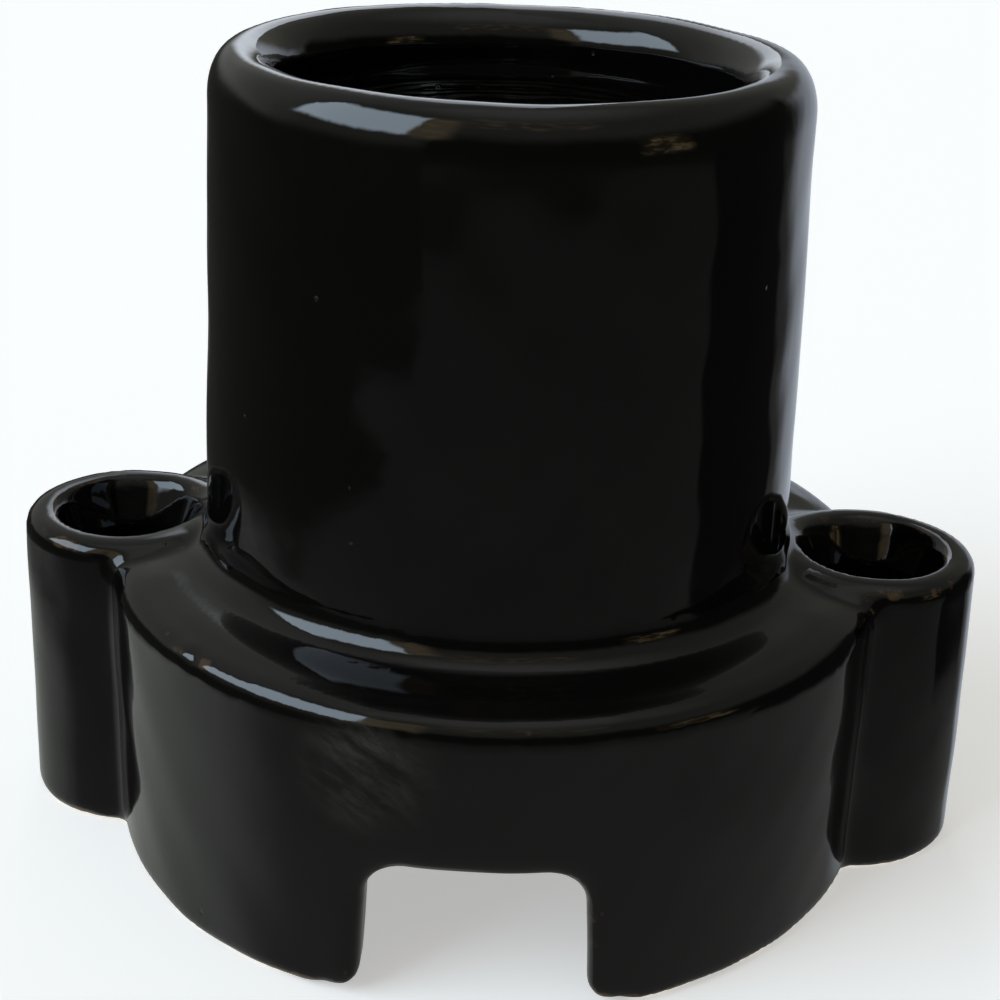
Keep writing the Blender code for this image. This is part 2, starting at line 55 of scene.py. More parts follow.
# Porcelain, in millimetres.
HEIGHT = 59.3
BARREL_RADIUS = 21.0
BARREL_FOOT_RADIUS = 21.8
CROWN_RADIUS = 18.9
LIP_DROP_OUTSIDE = 3.5
LIP_DROP_INSIDE = 2.8
BORE_MOUTH_RADIUS = 16.0
BORE_FLOOR_RADIUS = 15.0
SEPTUM_TOP = 21.0
SEPTUM_UNDERSIDE = 15.5
SHOULDER_HEIGHT = 22.9
SHOULDER_FALL = 0.5
COVE_RADIUS = 2.0
SKIRT_RADIUS = 28.8
SKIRT_EDGE_RADIUS = 1.6
CAVITY_RADIUS = 24.0
CAVITY_HALF_WIDTH = 19.5
LUG_OFFSET = 28.3
LUG_RADIUS = 7.8
LUG_FOOT_RADIUS = 8.2
LUG_HEIGHT = 23.5
LUG_EDGE_RADIUS = 1.3
LUG_MOUTH_RADIUS = 5.4
LUG_FUNNEL_DEPTH = 3.6
COUNTERBORE_RADIUS = 4.0
COUNTERBORE_FLOOR = 9.0
LUG_HOLE_RADIUS = 3.0
NOTCH_HEIGHT = 10.8
NOTCH_HALF_TOP = 7.3
NOTCH_HALF_FOOT = 7.6
NOTCH_CORNER_RADIUS = 2.8
NOTCH_FLARE_RADIUS = 2.2
NOTCH_OFFSET = 0.8
SCREW_HOLE_RADIUS = 1.8
SHELL_SCREW_CIRCLE = 9.3
SHELL_SCREW_ANGLES = (180.0, 60.0, 300.0)

# How far the glaze flows round each kind of corner, in millimetres.
LUG_CREASE = 1.3
HOLE_LIP = 0.6
CAVITY_LIP = 0.8
NOTCH_LIP = 1.6
FOOT_LIP = 0.9
SCREW_HOLE_LIP = 0.3
GLAZE_SHRINK = 0.07
RIPPLE_SHARE = 0.8
VOXEL = 0.50


# Node and colour tools.

def hex_colour(code):
    """Linear RGBA from an sRGB hex string."""
    values = [int(code[index:index + 2], 16) / 255.0 for index in (1, 3, 5)]
    linear = [value / 12.92 if value <= 0.04045 else ((value + 0.055) / 1.055) ** 2.4 for value in values]
    return (*linear, 1.0)


def add_node(tree, kind, settings=None, **links):
    """Add a node with its properties and its inputs, each a value or another node's output socket."""
    node = tree.nodes.new(kind)
    for name, value in (settings or {}).items():
        setattr(node, name, value)
    feed(tree, node, **links)
    return node


def feed(tree, node, **links):
    """Fill a node's inputs, each named with _ for a space or i and its number."""
    for name, value in links.items():
        key = int(name[1:]) if name[0] == "i" and name[1:].isdigit() else name.replace("_", " ")
        socket = node.inputs[key]
        if isinstance(value, bpy.types.NodeSocket):
            tree.links.new(value, socket)
        else:
            socket.default_value = value


def new_material(name):
    """A material with an empty Principled shader, and its tree and shader."""
    material = bpy.data.materials.new(name)
    material.use_nodes = True
    tree = material.node_tree
    return material, tree, tree.nodes["Principled BSDF"]


def finish_material(parts, colour, roughness, relief, depth, **more):
    """Give a material its colour, roughness and relief, with the relief's depth in metres."""
    material, tree, shader = parts
    bump = add_node(tree, "ShaderNodeBump", Strength=1.0, Distance=depth, Height=relief)
    feed(tree, shader, Base_Color=colour, Roughness=roughness, Normal=bump.outputs["Normal"], **more)
    return material


# Shape tools.

def arc(centre, radii, start, end, steps):
    """Points on an ellipse in a plane, from one angle to another in degrees."""
    angles = np.radians(np.linspace(start, end, steps + 1))
    return [(centre[0] + radii[0] * math.cos(a), centre[1] + radii[1] * math.sin(a)) for a in angles]


def outline_distance(across, up, outline):
    """Signed distance to a closed outline, negative inside it."""
    nearest = np.full(across.shape, 1e9)
    inside = np.zeros(across.shape, bool)
    for (x0, y0), (x1, y1) in zip(outline, outline[1:] + outline[:1]):
        dx, dy = x1 - x0, y1 - y0
        length = dx * dx + dy * dy
        if length < 1e-12:
            continue
        ax, ay = across - x0, up - y0
        along = np.clip((ax * dx + ay * dy) / length, 0.0, 1.0)
        nearest = np.minimum(nearest, (ax - along * dx) ** 2 + (ay - along * dy) ** 2)
        if dy != 0.0:
            crosses = ((y0 > up) != (y1 > up)) & (ax < dx * ay / dy)
            inside ^= crosses
    return np.where(inside, -1.0, 1.0) * np.sqrt(nearest)


def smooth_min(a, b, width):
    """The smaller of two distances, with the corner between them filled as a glaze fills it."""
    overlap = np.maximum(width - np.abs(a - b), 0.0)
    return np.minimum(a, b) - overlap * overlap / (4.0 * width)


def smooth_cut(a, b, width):
    """Distance to solid a with solid b taken away, with a rounded edge."""
    return -smooth_min(-a, b, width)


def link_piece(name, data):
    """Put a mesh or a camera in the scene as an object at the origin."""
    piece = bpy.data.objects.new(name, data)
    bpy.context.scene.collection.objects.link(piece)
    return piece


def applied(piece):
    """New mesh of a piece with its modifiers applied."""
    bpy.context.view_layer.update()
    whole = piece.evaluated_get(bpy.context.evaluated_depsgraph_get())
    return bpy.data.meshes.new_from_object(whole)


# Porcelain body.

def body_outline():
    """Half section of barrel and skirt: bore floor, bore, lip, barrel, cove, shoulder, skirt."""
    flare = arc((CROWN_RADIUS, HEIGHT - LIP_DROP_INSIDE),
                (CROWN_RADIUS - BORE_MOUTH_RADIUS, LIP_DROP_INSIDE), 180.0, 90.0, 16)
    lip = arc((CROWN_RADIUS, HEIGHT - LIP_DROP_OUTSIDE),
              (BARREL_RADIUS - CROWN_RADIUS, LIP_DROP_OUTSIDE), 90.0, 0.0, 16)
    cove = arc((BARREL_FOOT_RADIUS + COVE_RADIUS, SHOULDER_HEIGHT + COVE_RADIUS),
               (COVE_RADIUS, COVE_RADIUS), 180.0, 270.0, 12)
    edge = arc((SKIRT_RADIUS - SKIRT_EDGE_RADIUS, SHOULDER_HEIGHT - SHOULDER_FALL - SKIRT_EDGE_RADIUS),
               (SKIRT_EDGE_RADIUS, SKIRT_EDGE_RADIUS), 90.0, 0.0, 12)
    bore = [(-5.0, SEPTUM_TOP), (BORE_FLOOR_RADIUS, SEPTUM_TOP)]
    return bore + flare + lip[1:] + cove + edge + [(SKIRT_RADIUS, -5.0), (-5.0, -5.0)]


def lug_outline():
    """Half section of a lug about its own axis."""
    top = arc((LUG_RADIUS - LUG_EDGE_RADIUS, LUG_HEIGHT - LUG_EDGE_RADIUS),
              (LUG_EDGE_RADIUS, LUG_EDGE_RADIUS), 90.0, 0.0, 12)
    return [(-5.0, LUG_HEIGHT)] + top + [(LUG_FOOT_RADIUS, 0.0), (LUG_FOOT_RADIUS, -5.0), (-5.0, -5.0)]


def lug_hole_outline():
    """Half section of a lug's funnel mouth, counterbore and clearance hole."""
    top = LUG_HEIGHT + 10.0
    return [(-5.0, top), (LUG_MOUTH_RADIUS, top), (LUG_MOUTH_RADIUS, LUG_HEIGHT),
            (COUNTERBORE_RADIUS, LUG_HEIGHT - LUG_FUNNEL_DEPTH), (COUNTERBORE_RADIUS, COUNTERBORE_FLOOR),
            (LUG_HOLE_RADIUS, COUNTERBORE_FLOOR), (LUG_HOLE_RADIUS, -5.0), (-5.0, -5.0)]


def cavity_outline():
    """Plan of the wiring cavity: a round with flats towards the lugs."""
    corner = math.degrees(math.acos(CAVITY_HALF_WIDTH / CAVITY_RADIUS))
    size = (CAVITY_RADIUS, CAVITY_RADIUS)
    return arc((0.0, 0.0), size, corner, 180.0 - corner, 40) + arc((0.0, 0.0), size, 180.0 + corner,
                                                                   360.0 - corner, 40)


def notch_outline():
    """Arch of the cable notch, seen from the front, with its foot flared outwards."""
    corner, flare = NOTCH_CORNER_RADIUS, NOTCH_FLARE_RADIUS
    foot = arc((NOTCH_HALF_FOOT + flare, flare), (flare, flare), 270.0, 180.0, 10)
    top = arc((NOTCH_HALF_TOP - corner, NOTCH_HEIGHT - corner), (corner, corner), 0.0, 90.0, 12)
    right = [(NOTCH_HALF_FOOT + flare, -5.0)] + foot + top
    left = [(-across, up) for across, up in reversed(right)]
    return [(NOTCH_OFFSET + across, up) for across, up in right + left]


# Waves in the glazed surface: height in millimetres, turns along each axis in radians a millimetre,
# and phase in radians.
RIPPLES = (
    (0.030, (0.21, 0.13, 0.31), 0.4),
    (0.026, (-0.33, 0.18, 0.14), 2.1),
    (0.022, (0.10, -0.41, 0.22), 4.4),
    (0.018, (0.47, 0.35, -0.12), 1.3),
    (0.016, (-0.28, 0.52, 0.45), 5.2),
    (0.015, (0.62, -0.38, 0.55), 3.3),
    (0.013, (-0.57, 0.66, -0.71), 0.9),
    (0.010, (0.95, 0.42, 0.38), 2.7),
    (0.008, (-0.81, -0.88, 0.93), 5.8),
)
SHOULDER_CROWN = 0.16
SHOULDER_CROWN_RADIUS = 25.7
SHOULDER_CROWN_WIDTH = 1.2
SHOULDER_CROWN_FADE = 3.0
BORE_RING_HEIGHT = 54.0
BORE_RING_WIDTH = 0.7
BORE_RING_DEPTH = 0.20
BORE_RING_REACH = 1.5
# Beads and chips of glaze on the shoulder edge: place, width and height, in millimetres.
BLEMISHES = (
    ((-19.9, -20.6, 22.1), 1.1, 0.12),
    ((-19.1, -21.5, 21.9), 0.7, -0.10),
    ((-18.2, -22.2, 22.0), 0.9, 0.09),
    ((-14.6, -24.8, 21.9), 0.9, 0.06),
    ((-6.6, -27.7, 21.9), 0.8, 0.06),
    ((9.5, -26.8, 22.0), 1.0, 0.05),
    ((21.0, 19.2, 22.0), 0.8, 0.16),
    ((-11.0, 26.2, 21.9), 0.7, 0.14),
)


def glaze_ripple(x, y, z):
    """Long low waves that a dipped glaze and a pressed body leave, in millimetres."""
    total = np.zeros(x.shape)
    for height, (kx, ky, kz), phase in RIPPLES:
        total += height * np.sin(kx * x + ky * y + kz * z + phase)
    return total


def glaze_blemishes(x, y, z):
    """Low crown of the shoulder, ring of gathered glaze in the bore's mouth and beads on the edge."""
    radius = np.hypot(x, y)
    inside = radius < BORE_MOUTH_RADIUS + BORE_RING_REACH
    total = inside * BORE_RING_DEPTH * np.exp(-((z - BORE_RING_HEIGHT) / BORE_RING_WIDTH) ** 2)
    off_lugs = np.clip((np.abs(y) - LUG_RADIUS) / SHOULDER_CROWN_FADE, 0.0, 1.0)
    crown = np.exp(-((radius - SHOULDER_CROWN_RADIUS) / SHOULDER_CROWN_WIDTH) ** 2)
    total += SHOULDER_CROWN * off_lugs * crown * (z > SEPTUM_UNDERSIDE + SHOULDER_CROWN_FADE)
    for (px, py, pz), width, height in BLEMISHES:
        reach = ((x - px) ** 2 + (y - py) ** 2 + (z - pz) ** 2) / width ** 2
        total += height * np.exp(-reach)
    return total


def porcelain_distance(points):
    """Signed distance to the glazed body, in millimetres."""
    x, y, z = points[:, 0], points[:, 1], points[:, 2]
    solid = outline_distance(np.hypot(x, y), z, BODY_OUTLINE)
    for side in (-1.0, 1.0):
        lug = outline_distance(np.hypot(x - side * LUG_OFFSET, y), z, LUG_OUTLINE)
        solid = smooth_min(solid, lug, LUG_CREASE)
    cavity = np.maximum(outline_distance(x, y, CAVITY_OUTLINE), z - SEPTUM_UNDERSIDE)
    solid = smooth_cut(solid, cavity, CAVITY_LIP)
    notch = np.maximum(outline_distance(x, z, NOTCH_OUTLINE), y + CAVITY_HALF_WIDTH)
    solid = smooth_cut(solid, notch, NOTCH_LIP)
    for side in (-1.0, 1.0):
        hole = outline_distance(np.hypot(x - side * LUG_OFFSET, y), z, LUG_HOLE_OUTLINE)
        solid = smooth_cut(solid, hole, HOLE_LIP)
    for px, py in SCREW_HOLES:
        hole = np.hypot(x - px, y - py) - SCREW_HOLE_RADIUS
        solid = smooth_cut(solid, hole, SCREW_HOLE_LIP)
    solid = smooth_cut(solid, z, FOOT_LIP)
    return solid + GLAZE_SHRINK + RIPPLE_SHARE * glaze_ripple(x, y, z) - glaze_blemishes(x, y, z)


BODY_OUTLINE = body_outline()
LUG_OUTLINE = lug_outline()
LUG_HOLE_OUTLINE = lug_hole_outline()
CAVITY_OUTLINE = cavity_outline()
NOTCH_OUTLINE = notch_outline()
SCREW_HOLES = [(0.0, 0.0)] + [
    (SHELL_SCREW_CIRCLE * math.cos(math.radians(a)), SHELL_SCREW_CIRCLE * math.sin(math.radians(a)))
    for a in SHELL_SCREW_ANGLES]


def distance_slope(points, value, step=0.02):
    """Gradient of the signed distance by small steps along each axis."""
    slope = np.empty_like(points)
    for axis in range(3):
        moved = points.copy()
        moved[:, axis] += step
        slope[:, axis] = (porcelain_distance(moved) - value) / step
    return slope


def settle_on_glaze(points, rounds=3):
    """Move rough surface points onto the glaze surface."""
    for _ in range(rounds):
        value = porcelain_distance(points)
        slope = distance_slope(points, value)
        square = np.maximum((slope ** 2).sum(1), 0.25)
        move = np.clip(value / square, -0.5, 0.5)
        points = points - slope * move[:, None]
    return points


def bend_of_glaze(points, reach=0.7):
    """How convex the surface is at each point: positive on edges, negative in coves."""
    value = porcelain_distance(points)
    total = -6.0 * value
    for axis in range(3):
        for sign in (-1.0, 1.0):
            moved = points.copy()
            moved[:, axis] += sign * reach
            total += porcelain_distance(moved)
    return total / reach


def porcelain_body():
    """Fine surface of the glazed body, from the solid, refined onto the glaze surface."""
    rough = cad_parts["porcelain_body"].data.copy()
    merge = bmesh.new()
    merge.from_mesh(rough)
    bmesh.ops.remove_doubles(merge, verts=merge.verts, dist=1e-6)
    merge.to_mesh(rough)
    merge.free()
    start = link_piece("porcelain_start", rough)
    remesh = start.modifiers.new("even", "REMESH")
    remesh.mode = "VOXEL"
    remesh.voxel_size = VOXEL * MM
    mesh = applied(start)
    bpy.data.objects.remove(start)
    points = np.empty(len(mesh.vertices) * 3)
    mesh.vertices.foreach_get("co", points)
    points = settle_on_glaze(points.reshape(-1, 3) / MM)
    # The waves of the glaze stay inside the solid's own box, and the foot stays flat.
    solid = np.array([vertex.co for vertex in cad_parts["porcelain_body"].data.vertices]) / MM
    points = np.clip(points, solid.min(0), solid.max(0))
    mesh.vertices.foreach_set("co", (points * MM).ravel())
    edge = mesh.attributes.new("edge", "FLOAT", "POINT")
    edge.data.foreach_set("value", bend_of_glaze(points).astype(np.float32))
    mesh.materials.clear()
    mesh.shade_smooth()
    mesh.update()
    return link_piece("glazed_body", mesh)


# Materials.

def soft_step(tree, value, start, end):
    """A smooth rise from 0 to 1 as a value goes from start to end."""
    step = add_node(tree, "ShaderNodeMapRange", {"interpolation_type": "SMOOTHSTEP"},
                    Value=value, From_Min=start, From_Max=end)
    return step.outputs["Result"]


def maths(tree, operation, first, second=0.0):
    """One arithmetic step between two values."""
    return add_node(tree, "ShaderNodeMath", {"operation": operation}, i0=first, i1=second).outputs[0]


def times(tree, first, second):
    """Product of two values."""
    return maths(tree, "MULTIPLY", first, second)


def plus(tree, first, second):
    """Sum of two values."""
    return maths(tree, "ADD", first, second)


def less(tree, first, second):
    """First value less the second."""
    return maths(tree, "SUBTRACT", first, second)


def over(tree, first, second):
    """First value divided by the second."""
    return maths(tree, "DIVIDE", first, second)


def vector(tree, **parts):
    """Vector from its X, Y and Z, with 0 for what is left out."""
    return add_node(tree, "ShaderNodeCombineXYZ", **parts).outputs[0]


def blend_colours(tree, share, first, second):
    """Colour between two, each a hex string or a socket."""
    mix = add_node(tree, "ShaderNodeMix", {"data_type": "RGBA"}, i0=share)
    for index, colour in ((6, first), (7, second)):
        if isinstance(colour, str):
            mix.inputs[index].default_value = hex_colour(colour)
        else:
            tree.links.new(colour, mix.inputs[index])
    return mix.outputs[2]


def noise(tree, place, scale, detail=2.0, roughness=0.5, stretch=None):
    """Smooth noise in object space, scaled in waves a metre, stretched along an axis if asked."""
    if stretch:
        place = add_node(tree, "ShaderNodeMapping", Vector=place, Scale=stretch).outputs["Vector"]
    return add_node(tree, "ShaderNodeTexNoise", Vector=place, Scale=scale, Detail=detail,
                    Roughness=roughness).outputs["Fac"]


# Handling scuff on the front of the skirt: middle and reach in metres, and fall for each unit across.
SCUFF_PLACE = (-0.0066, -0.0282, 0.0182)
SCUFF_RADIUS = 0.0058
SCUFF_SLANT = 0.55


def black_glaze():
    """Glossy black glaze over pressed porcelain. The eye sees a glassy near-black skin with
    slow waves, a few pinholes and specks, brown where it runs thin over the sharpest edges, a faint
    handling scuff on the skirt, and the bare oatmeal biscuit of the foot that stood in the kiln."""
    parts = new_material("black_glazed_porcelain")
    tree = parts[1]
    place = add_node(tree, "ShaderNodeTexCoord").outputs["Object"]
    height = add_node(tree, "ShaderNodeSeparateXYZ", Vector=place).outputs["Z"]
    edge = add_node(tree, "ShaderNodeAttribute", {"attribute_name": "edge"}).outputs["Fac"]
    # The glaze breaks to brown in patches 2 to 4 mm long on edges.
    broken = noise(tree, place, 420.0, 3.0, 0.6)
    thin = soft_step(tree, times(tree, edge, broken), 0.33, 0.42)
    # The whole standing face is bare, and the glaze line just above it wanders by about 0.1 mm.
    wander = times(tree, noise(tree, place, 260.0, 3.0), 0.0002)
    bare = soft_step(tree, less(tree, height, wander), 0.00010, 0.00003)
    # Specks of iron, 0.2 to 0.4 mm across and about one in 150 square millimetres.
    cells = add_node(tree, "ShaderNodeTexVoronoi", {"feature": "F1"}, Vector=place, Scale=380.0,
                     Randomness=1.0)
    lottery = add_node(tree, "ShaderNodeSeparateColor", Color=cells.outputs["Color"]).outputs["Red"]
    chosen = soft_step(tree, lottery, 0.72, 0.74)
    speck = times(tree, soft_step(tree, cells.outputs["Distance"], 0.085, 0.045), chosen)
    centre = vector(tree, X=SCUFF_PLACE[0], Y=SCUFF_PLACE[1], Z=SCUFF_PLACE[2])
    reach = add_node(tree, "ShaderNodeVectorMath", {"operation": "DISTANCE"}, i0=place,
                     i1=centre).outputs["Value"]
    # Rubs run down to the right, several times longer than wide.
    across = add_node(tree, "ShaderNodeSeparateXYZ", Vector=place).outputs["X"]
    slant = vector(tree, X=times(tree, across, 0.4),
                     Z=plus(tree, height, times(tree, across, SCUFF_SLANT)))
    streaks = noise(tree, slant, 430.0, 6.0, 0.7)
    scuff = times(tree, soft_step(tree, reach, SCUFF_RADIUS, SCUFF_RADIUS * 0.2),
                  soft_step(tree, streaks, 0.40, 0.72))
    cloud = noise(tree, place, 90.0, 4.0, 0.6)
    glaze = blend_colours(tree, cloud, "#040404", "#090807")
    glaze = blend_colours(tree, times(tree, scuff, 0.8), glaze, "#3a3733")
    glaze = blend_colours(tree, times(tree, thin, 0.8), glaze, "#4a3826")
    glaze = blend_colours(tree, times(tree, speck, 0.4), glaze, "#2a2724")
    grain = noise(tree, place, 2600.0, 4.0, 0.7)
    biscuit = blend_colours(tree, grain, "#b9ab93", "#d6cbb6")
    colour = blend_colours(tree, bare, glaze, biscuit)
    smear = soft_step(tree, noise(tree, place, 150.0, 5.0, 0.65), 0.50, 0.75)
    gloss = plus(tree, times(tree, smear, 0.035), 0.045)
    gloss = plus(tree, gloss, times(tree, scuff, 0.12))
    gloss = plus(tree, gloss, times(tree, speck, 0.15))
    rough = maths(tree, "MAXIMUM", gloss, times(tree, bare, 0.85))
    # Orange peel 1 to 3 mm across, pits at the specks, and the grain of the biscuit.
    peel = plus(tree, noise(tree, place, 330.0, 2.0, 0.4),
                 times(tree, noise(tree, place, 1100.0, 2.0, 0.5), 0.12))
    relief = less(tree, times(tree, peel, 0.05), times(tree, speck, 0.05))
    relief = plus(tree, relief, times(tree, times(tree, grain, bare), 0.20))
    return finish_material(parts, colour, rough, relief, 0.0004, IOR=1.52)


def metal_finish(name, bright, dull, polish, lines, line_depth, spots=0.45):
    """A metal with a drawn or rolled grain along one axis and duller patches 3 to 8 mm across."""
    parts = new_material(name)
    tree = parts[1]
    place = add_node(tree, "ShaderNodeTexCoord").outputs["Object"]
    patches = soft_step(tree, noise(tree, place, 200.0, 5.0, 0.6), spots, spots + 0.25)
    grain = noise(tree, place, 900.0, 3.0, 0.6, lines)
    colour = blend_colours(tree, patches, bright, dull)
    rough = plus(tree, times(tree, patches, 0.16), polish)
    rough = plus(tree, rough, times(tree, grain, 0.08))
    return finish_material(parts, colour, rough, grain, line_depth, Metallic=1.0)


def shell_nickel():
    """Dull nickel plate on thread-rolled sheet: warm grey, with faint rings round the wall left by the
    rolls and darker patches where the plate has tarnished."""
    return metal_finish("shell_nickel", "#8f8c85", "#504d48", 0.24, (0.15, 0.15, 2.2), 0.000010)


def turned_brass():
    """Drawn brass bar, sawn and drilled: satin yellow with fine drawing lines along the bar."""
    return metal_finish("turned_brass", "#c8a055", "#8d6c38", 0.26, (0.15, 2.0, 2.0), 0.000014)


def phosphor_bronze():
    """Phosphor-bronze spring strip: pinkish brown, smooth rolled skin with drawn lines along it."""
    return metal_finish("phosphor_bronze", "#c08a5e", "#835737", 0.22, (0.15, 2.2, 2.2), 0.000010)


def nickel_plate():
    """Nickel-plated rivet head: warm white, nearly a mirror, dulled where the lamp rubs it."""
    return metal_finish("nickel_plate", "#d5d0c4", "#a39d90", 0.12, (1.0, 1.0, 1.0), 0.000006)


def zinc_plate():
    """Bright zinc plate on steel: blue-white, satin, with cloudy grey patches."""
    return metal_finish("zinc_plate", "#c3c9cc", "#8c9194", 0.24, (1.0, 1.0, 1.0), 0.000008, 0.40)


def vulcanised_fibre():
    """Red vulcanised fibre, stamped from sheet: a dry oxblood board with short pale fibres."""
    parts = new_material("vulcanised_fibre")
    tree = parts[1]
    place = add_node(tree, "ShaderNodeTexCoord").outputs["Object"]
    fibres = noise(tree, place, 900.0, 4.0, 0.7, (1.0, 0.3, 1.0))
    shade = blend_colours(tree, noise(tree, place, 180.0, 3.0), "#4f1a12", "#73291c")
    colour = blend_colours(tree, soft_step(tree, fibres, 0.60, 0.75), shade, "#8a4a36")
    return finish_material(parts, colour, 0.62, fibres, 0.00003, IOR=1.50)


# Geometry-node trees for the fasteners and the thread.

def sizes_tree(name, sizes):
    """A geometry tree with a named input for each size and one for the material."""
    tree = bpy.data.node_groups.new(name, "GeometryNodeTree")
    tree.interface.new_socket("Geometry", in_out="INPUT", socket_type="NodeSocketGeometry")
    for label in sizes:
        kind = "NodeSocketInt" if label in ("Count", "Seed") else "NodeSocketFloat"
        tree.interface.new_socket(label, in_out="INPUT", socket_type=kind)
    tree.interface.new_socket("Material", in_out="INPUT", socket_type="NodeSocketMaterial")
    tree.interface.new_socket("Geometry", in_out="OUTPUT", socket_type="NodeSocketGeometry")
    return tree, tree.nodes.new("NodeGroupInput").outputs


def end_tree(tree, given, shape):
    """Realize the instances, set the material and send the shape out."""
    real = add_node(tree, "GeometryNodeRealizeInstances", Geometry=shape).outputs[0]
    made = add_node(tree, "GeometryNodeSetMaterial", Geometry=real, Material=given["Material"]).outputs[0]
    add_node(tree, "NodeGroupOutput", Geometry=made)
    return tree


def split_place(tree):
    """Across, along and up of each vertex."""
    place = tree.nodes.new("GeometryNodeInputPosition").outputs[0]
    parts = add_node(tree, "ShaderNodeSeparateXYZ", Vector=place).outputs
    return place, parts["X"], parts["Y"], parts["Z"]


def thread_wave(tree, across, along, up, pitch):
    """From 0 on the crest to 1 in the root of a right-hand thread."""
    turn = over(tree, maths(tree, "ARCTAN2", along, across), 2.0 * math.pi)
    phase = less(tree, over(tree, up, pitch), turn)
    swing = maths(tree, "COSINE", times(tree, phase, 2.0 * math.pi))
    return less(tree, 0.5, times(tree, swing, 0.5))


def scale_radius(tree, shape, place, share):
    """Move each vertex to a share of its distance from the Z axis."""
    factor = vector(tree, X=share, Y=share, Z=1.0)
    moved = add_node(tree, "ShaderNodeVectorMath", {"operation": "MULTIPLY"}, i0=place, i1=factor)
    return add_node(tree, "GeometryNodeSetPosition", Geometry=shape, Position=moved.outputs[0]).outputs[0]


def lift(tree, shape, height):
    """Raise a shape by a height."""
    return add_node(tree, "GeometryNodeTransform", Geometry=shape,
                    Translation=vector(tree, Z=height)).outputs[0]


def cylinder(tree, sides, radius, depth, rows=1):
    """Closed cylinder about Z with its middle at the origin."""
    return add_node(tree, "GeometryNodeMeshCylinder", {"fill_type": "NGON"}, Vertices=sides,
                    Side_Segments=rows, Radius=radius, Depth=depth).outputs["Mesh"]


def combine_solids(tree, operation, first, second):
    """Boolean of two closed solids."""
    node = add_node(tree, "GeometryNodeMeshBoolean", {"operation": operation, "solver": "EXACT"})
    tree.links.new(first, node.inputs["Mesh 1" if operation == "DIFFERENCE" else "Mesh 2"])
    tree.links.new(second, node.inputs["Mesh 2"])
    return node.outputs["Mesh"]


def put_on_circle(tree, given, shape, turned_at_random):
    """Instances of a shape on a circle, from a first angle by equal steps, at the seat height."""
    index = tree.nodes.new("GeometryNodeInputIndex").outputs[0]
    angle = plus(tree, given["First Angle"], times(tree, index, given["Angle Step"]))
    x = times(tree, maths(tree, "COSINE", angle), given["Circle Radius"])
    y = times(tree, maths(tree, "SINE", angle), given["Circle Radius"])
    spot = vector(tree, X=x, Y=y, Z=given["Seat Height"])
    points = add_node(tree, "GeometryNodePoints", Count=given["Count"], Position=spot).outputs[0]
    placed = add_node(tree, "GeometryNodeInstanceOnPoints", Points=points, Instance=shape)
    if turned_at_random:
        chance = add_node(tree, "FunctionNodeRandomValue", {"data_type": "FLOAT"}, i2=0.0,
                          i3=2.0 * math.pi, i7=index, i8=given["Seed"]).outputs[1]
        turn = add_node(tree, "FunctionNodeEulerToRotation", Euler=vector(tree, Z=chance)).outputs[0]
        feed(tree, placed, Rotation=turn)
    return placed.outputs[0]


CIRCLE_SIZES = ("Count", "Circle Radius", "First Angle", "Angle Step", "Seat Height", "Seed")


def screw_tree():
    """Slotted cheese-head screws: a domed-edge head with a cut slot on a rolled-thread shank."""
    sizes = CIRCLE_SIZES + ("Head Radius", "Head Height", "Head Edge", "Shank Radius", "Shank Length",
                            "Pitch", "Thread Depth", "Slot Width", "Slot Depth")
    tree, given = sizes_tree("slotted_screws", sizes)
    overlap = times(tree, given["Head Height"], 0.2)
    length = plus(tree, given["Shank Length"], overlap)
    rows = times(tree, over(tree, length, given["Pitch"]), 8.0)
    shank = cylinder(tree, 24, given["Shank Radius"], length, rows)
    place, x, y, z = split_place(tree)
    half = times(tree, length, 0.5)
    from_end = plus(tree, z, half)
    from_head = less(tree, half, z)
    run_out = soft_step(tree, from_head, plus(tree, overlap, 0.0001), plus(tree, overlap, given["Pitch"]))
    wave = times(tree, thread_wave(tree, x, y, z, given["Pitch"]), run_out)
    cut = times(tree, wave, over(tree, given["Thread Depth"], given["Shank Radius"]))
    point = times(tree, soft_step(tree, from_end, given["Pitch"], 0.0), 0.16)
    share = less(tree, 1.0, maths(tree, "MAXIMUM", cut, point))
    shank = scale_radius(tree, shank, place, share)
    shank = lift(tree, shank, less(tree, overlap, half))
    head = cylinder(tree, 48, given["Head Radius"], given["Head Height"], 24)
    place, x, y, z = split_place(tree)
    top = times(tree, given["Head Height"], 0.5)
    into = over(tree, plus(tree, less(tree, z, top), given["Head Edge"]), given["Head Edge"])
    into = maths(tree, "MINIMUM", maths(tree, "MAXIMUM", into, 0.0), 1.0)
    sag = less(tree, 1.0, maths(tree, "SQRT", less(tree, 1.0, times(tree, into, into))))
    shrink = times(tree, sag, over(tree, given["Head Edge"], given["Head Radius"]))
    head = scale_radius(tree, head, place, less(tree, 1.0, shrink))
    head = lift(tree, head, top)
    slot_size = vector(tree, X=times(tree, given["Head Radius"], 3.0), Y=given["Slot Width"],
                       Z=times(tree, given["Slot Depth"], 2.0))
    slot = lift(tree, add_node(tree, "GeometryNodeMeshCube", Size=slot_size).outputs["Mesh"],
                given["Head Height"])
    whole = combine_solids(tree, "UNION", head, shank)
    whole = combine_solids(tree, "DIFFERENCE", whole, slot)
    return end_tree(tree, given, put_on_circle(tree, given, whole, True))


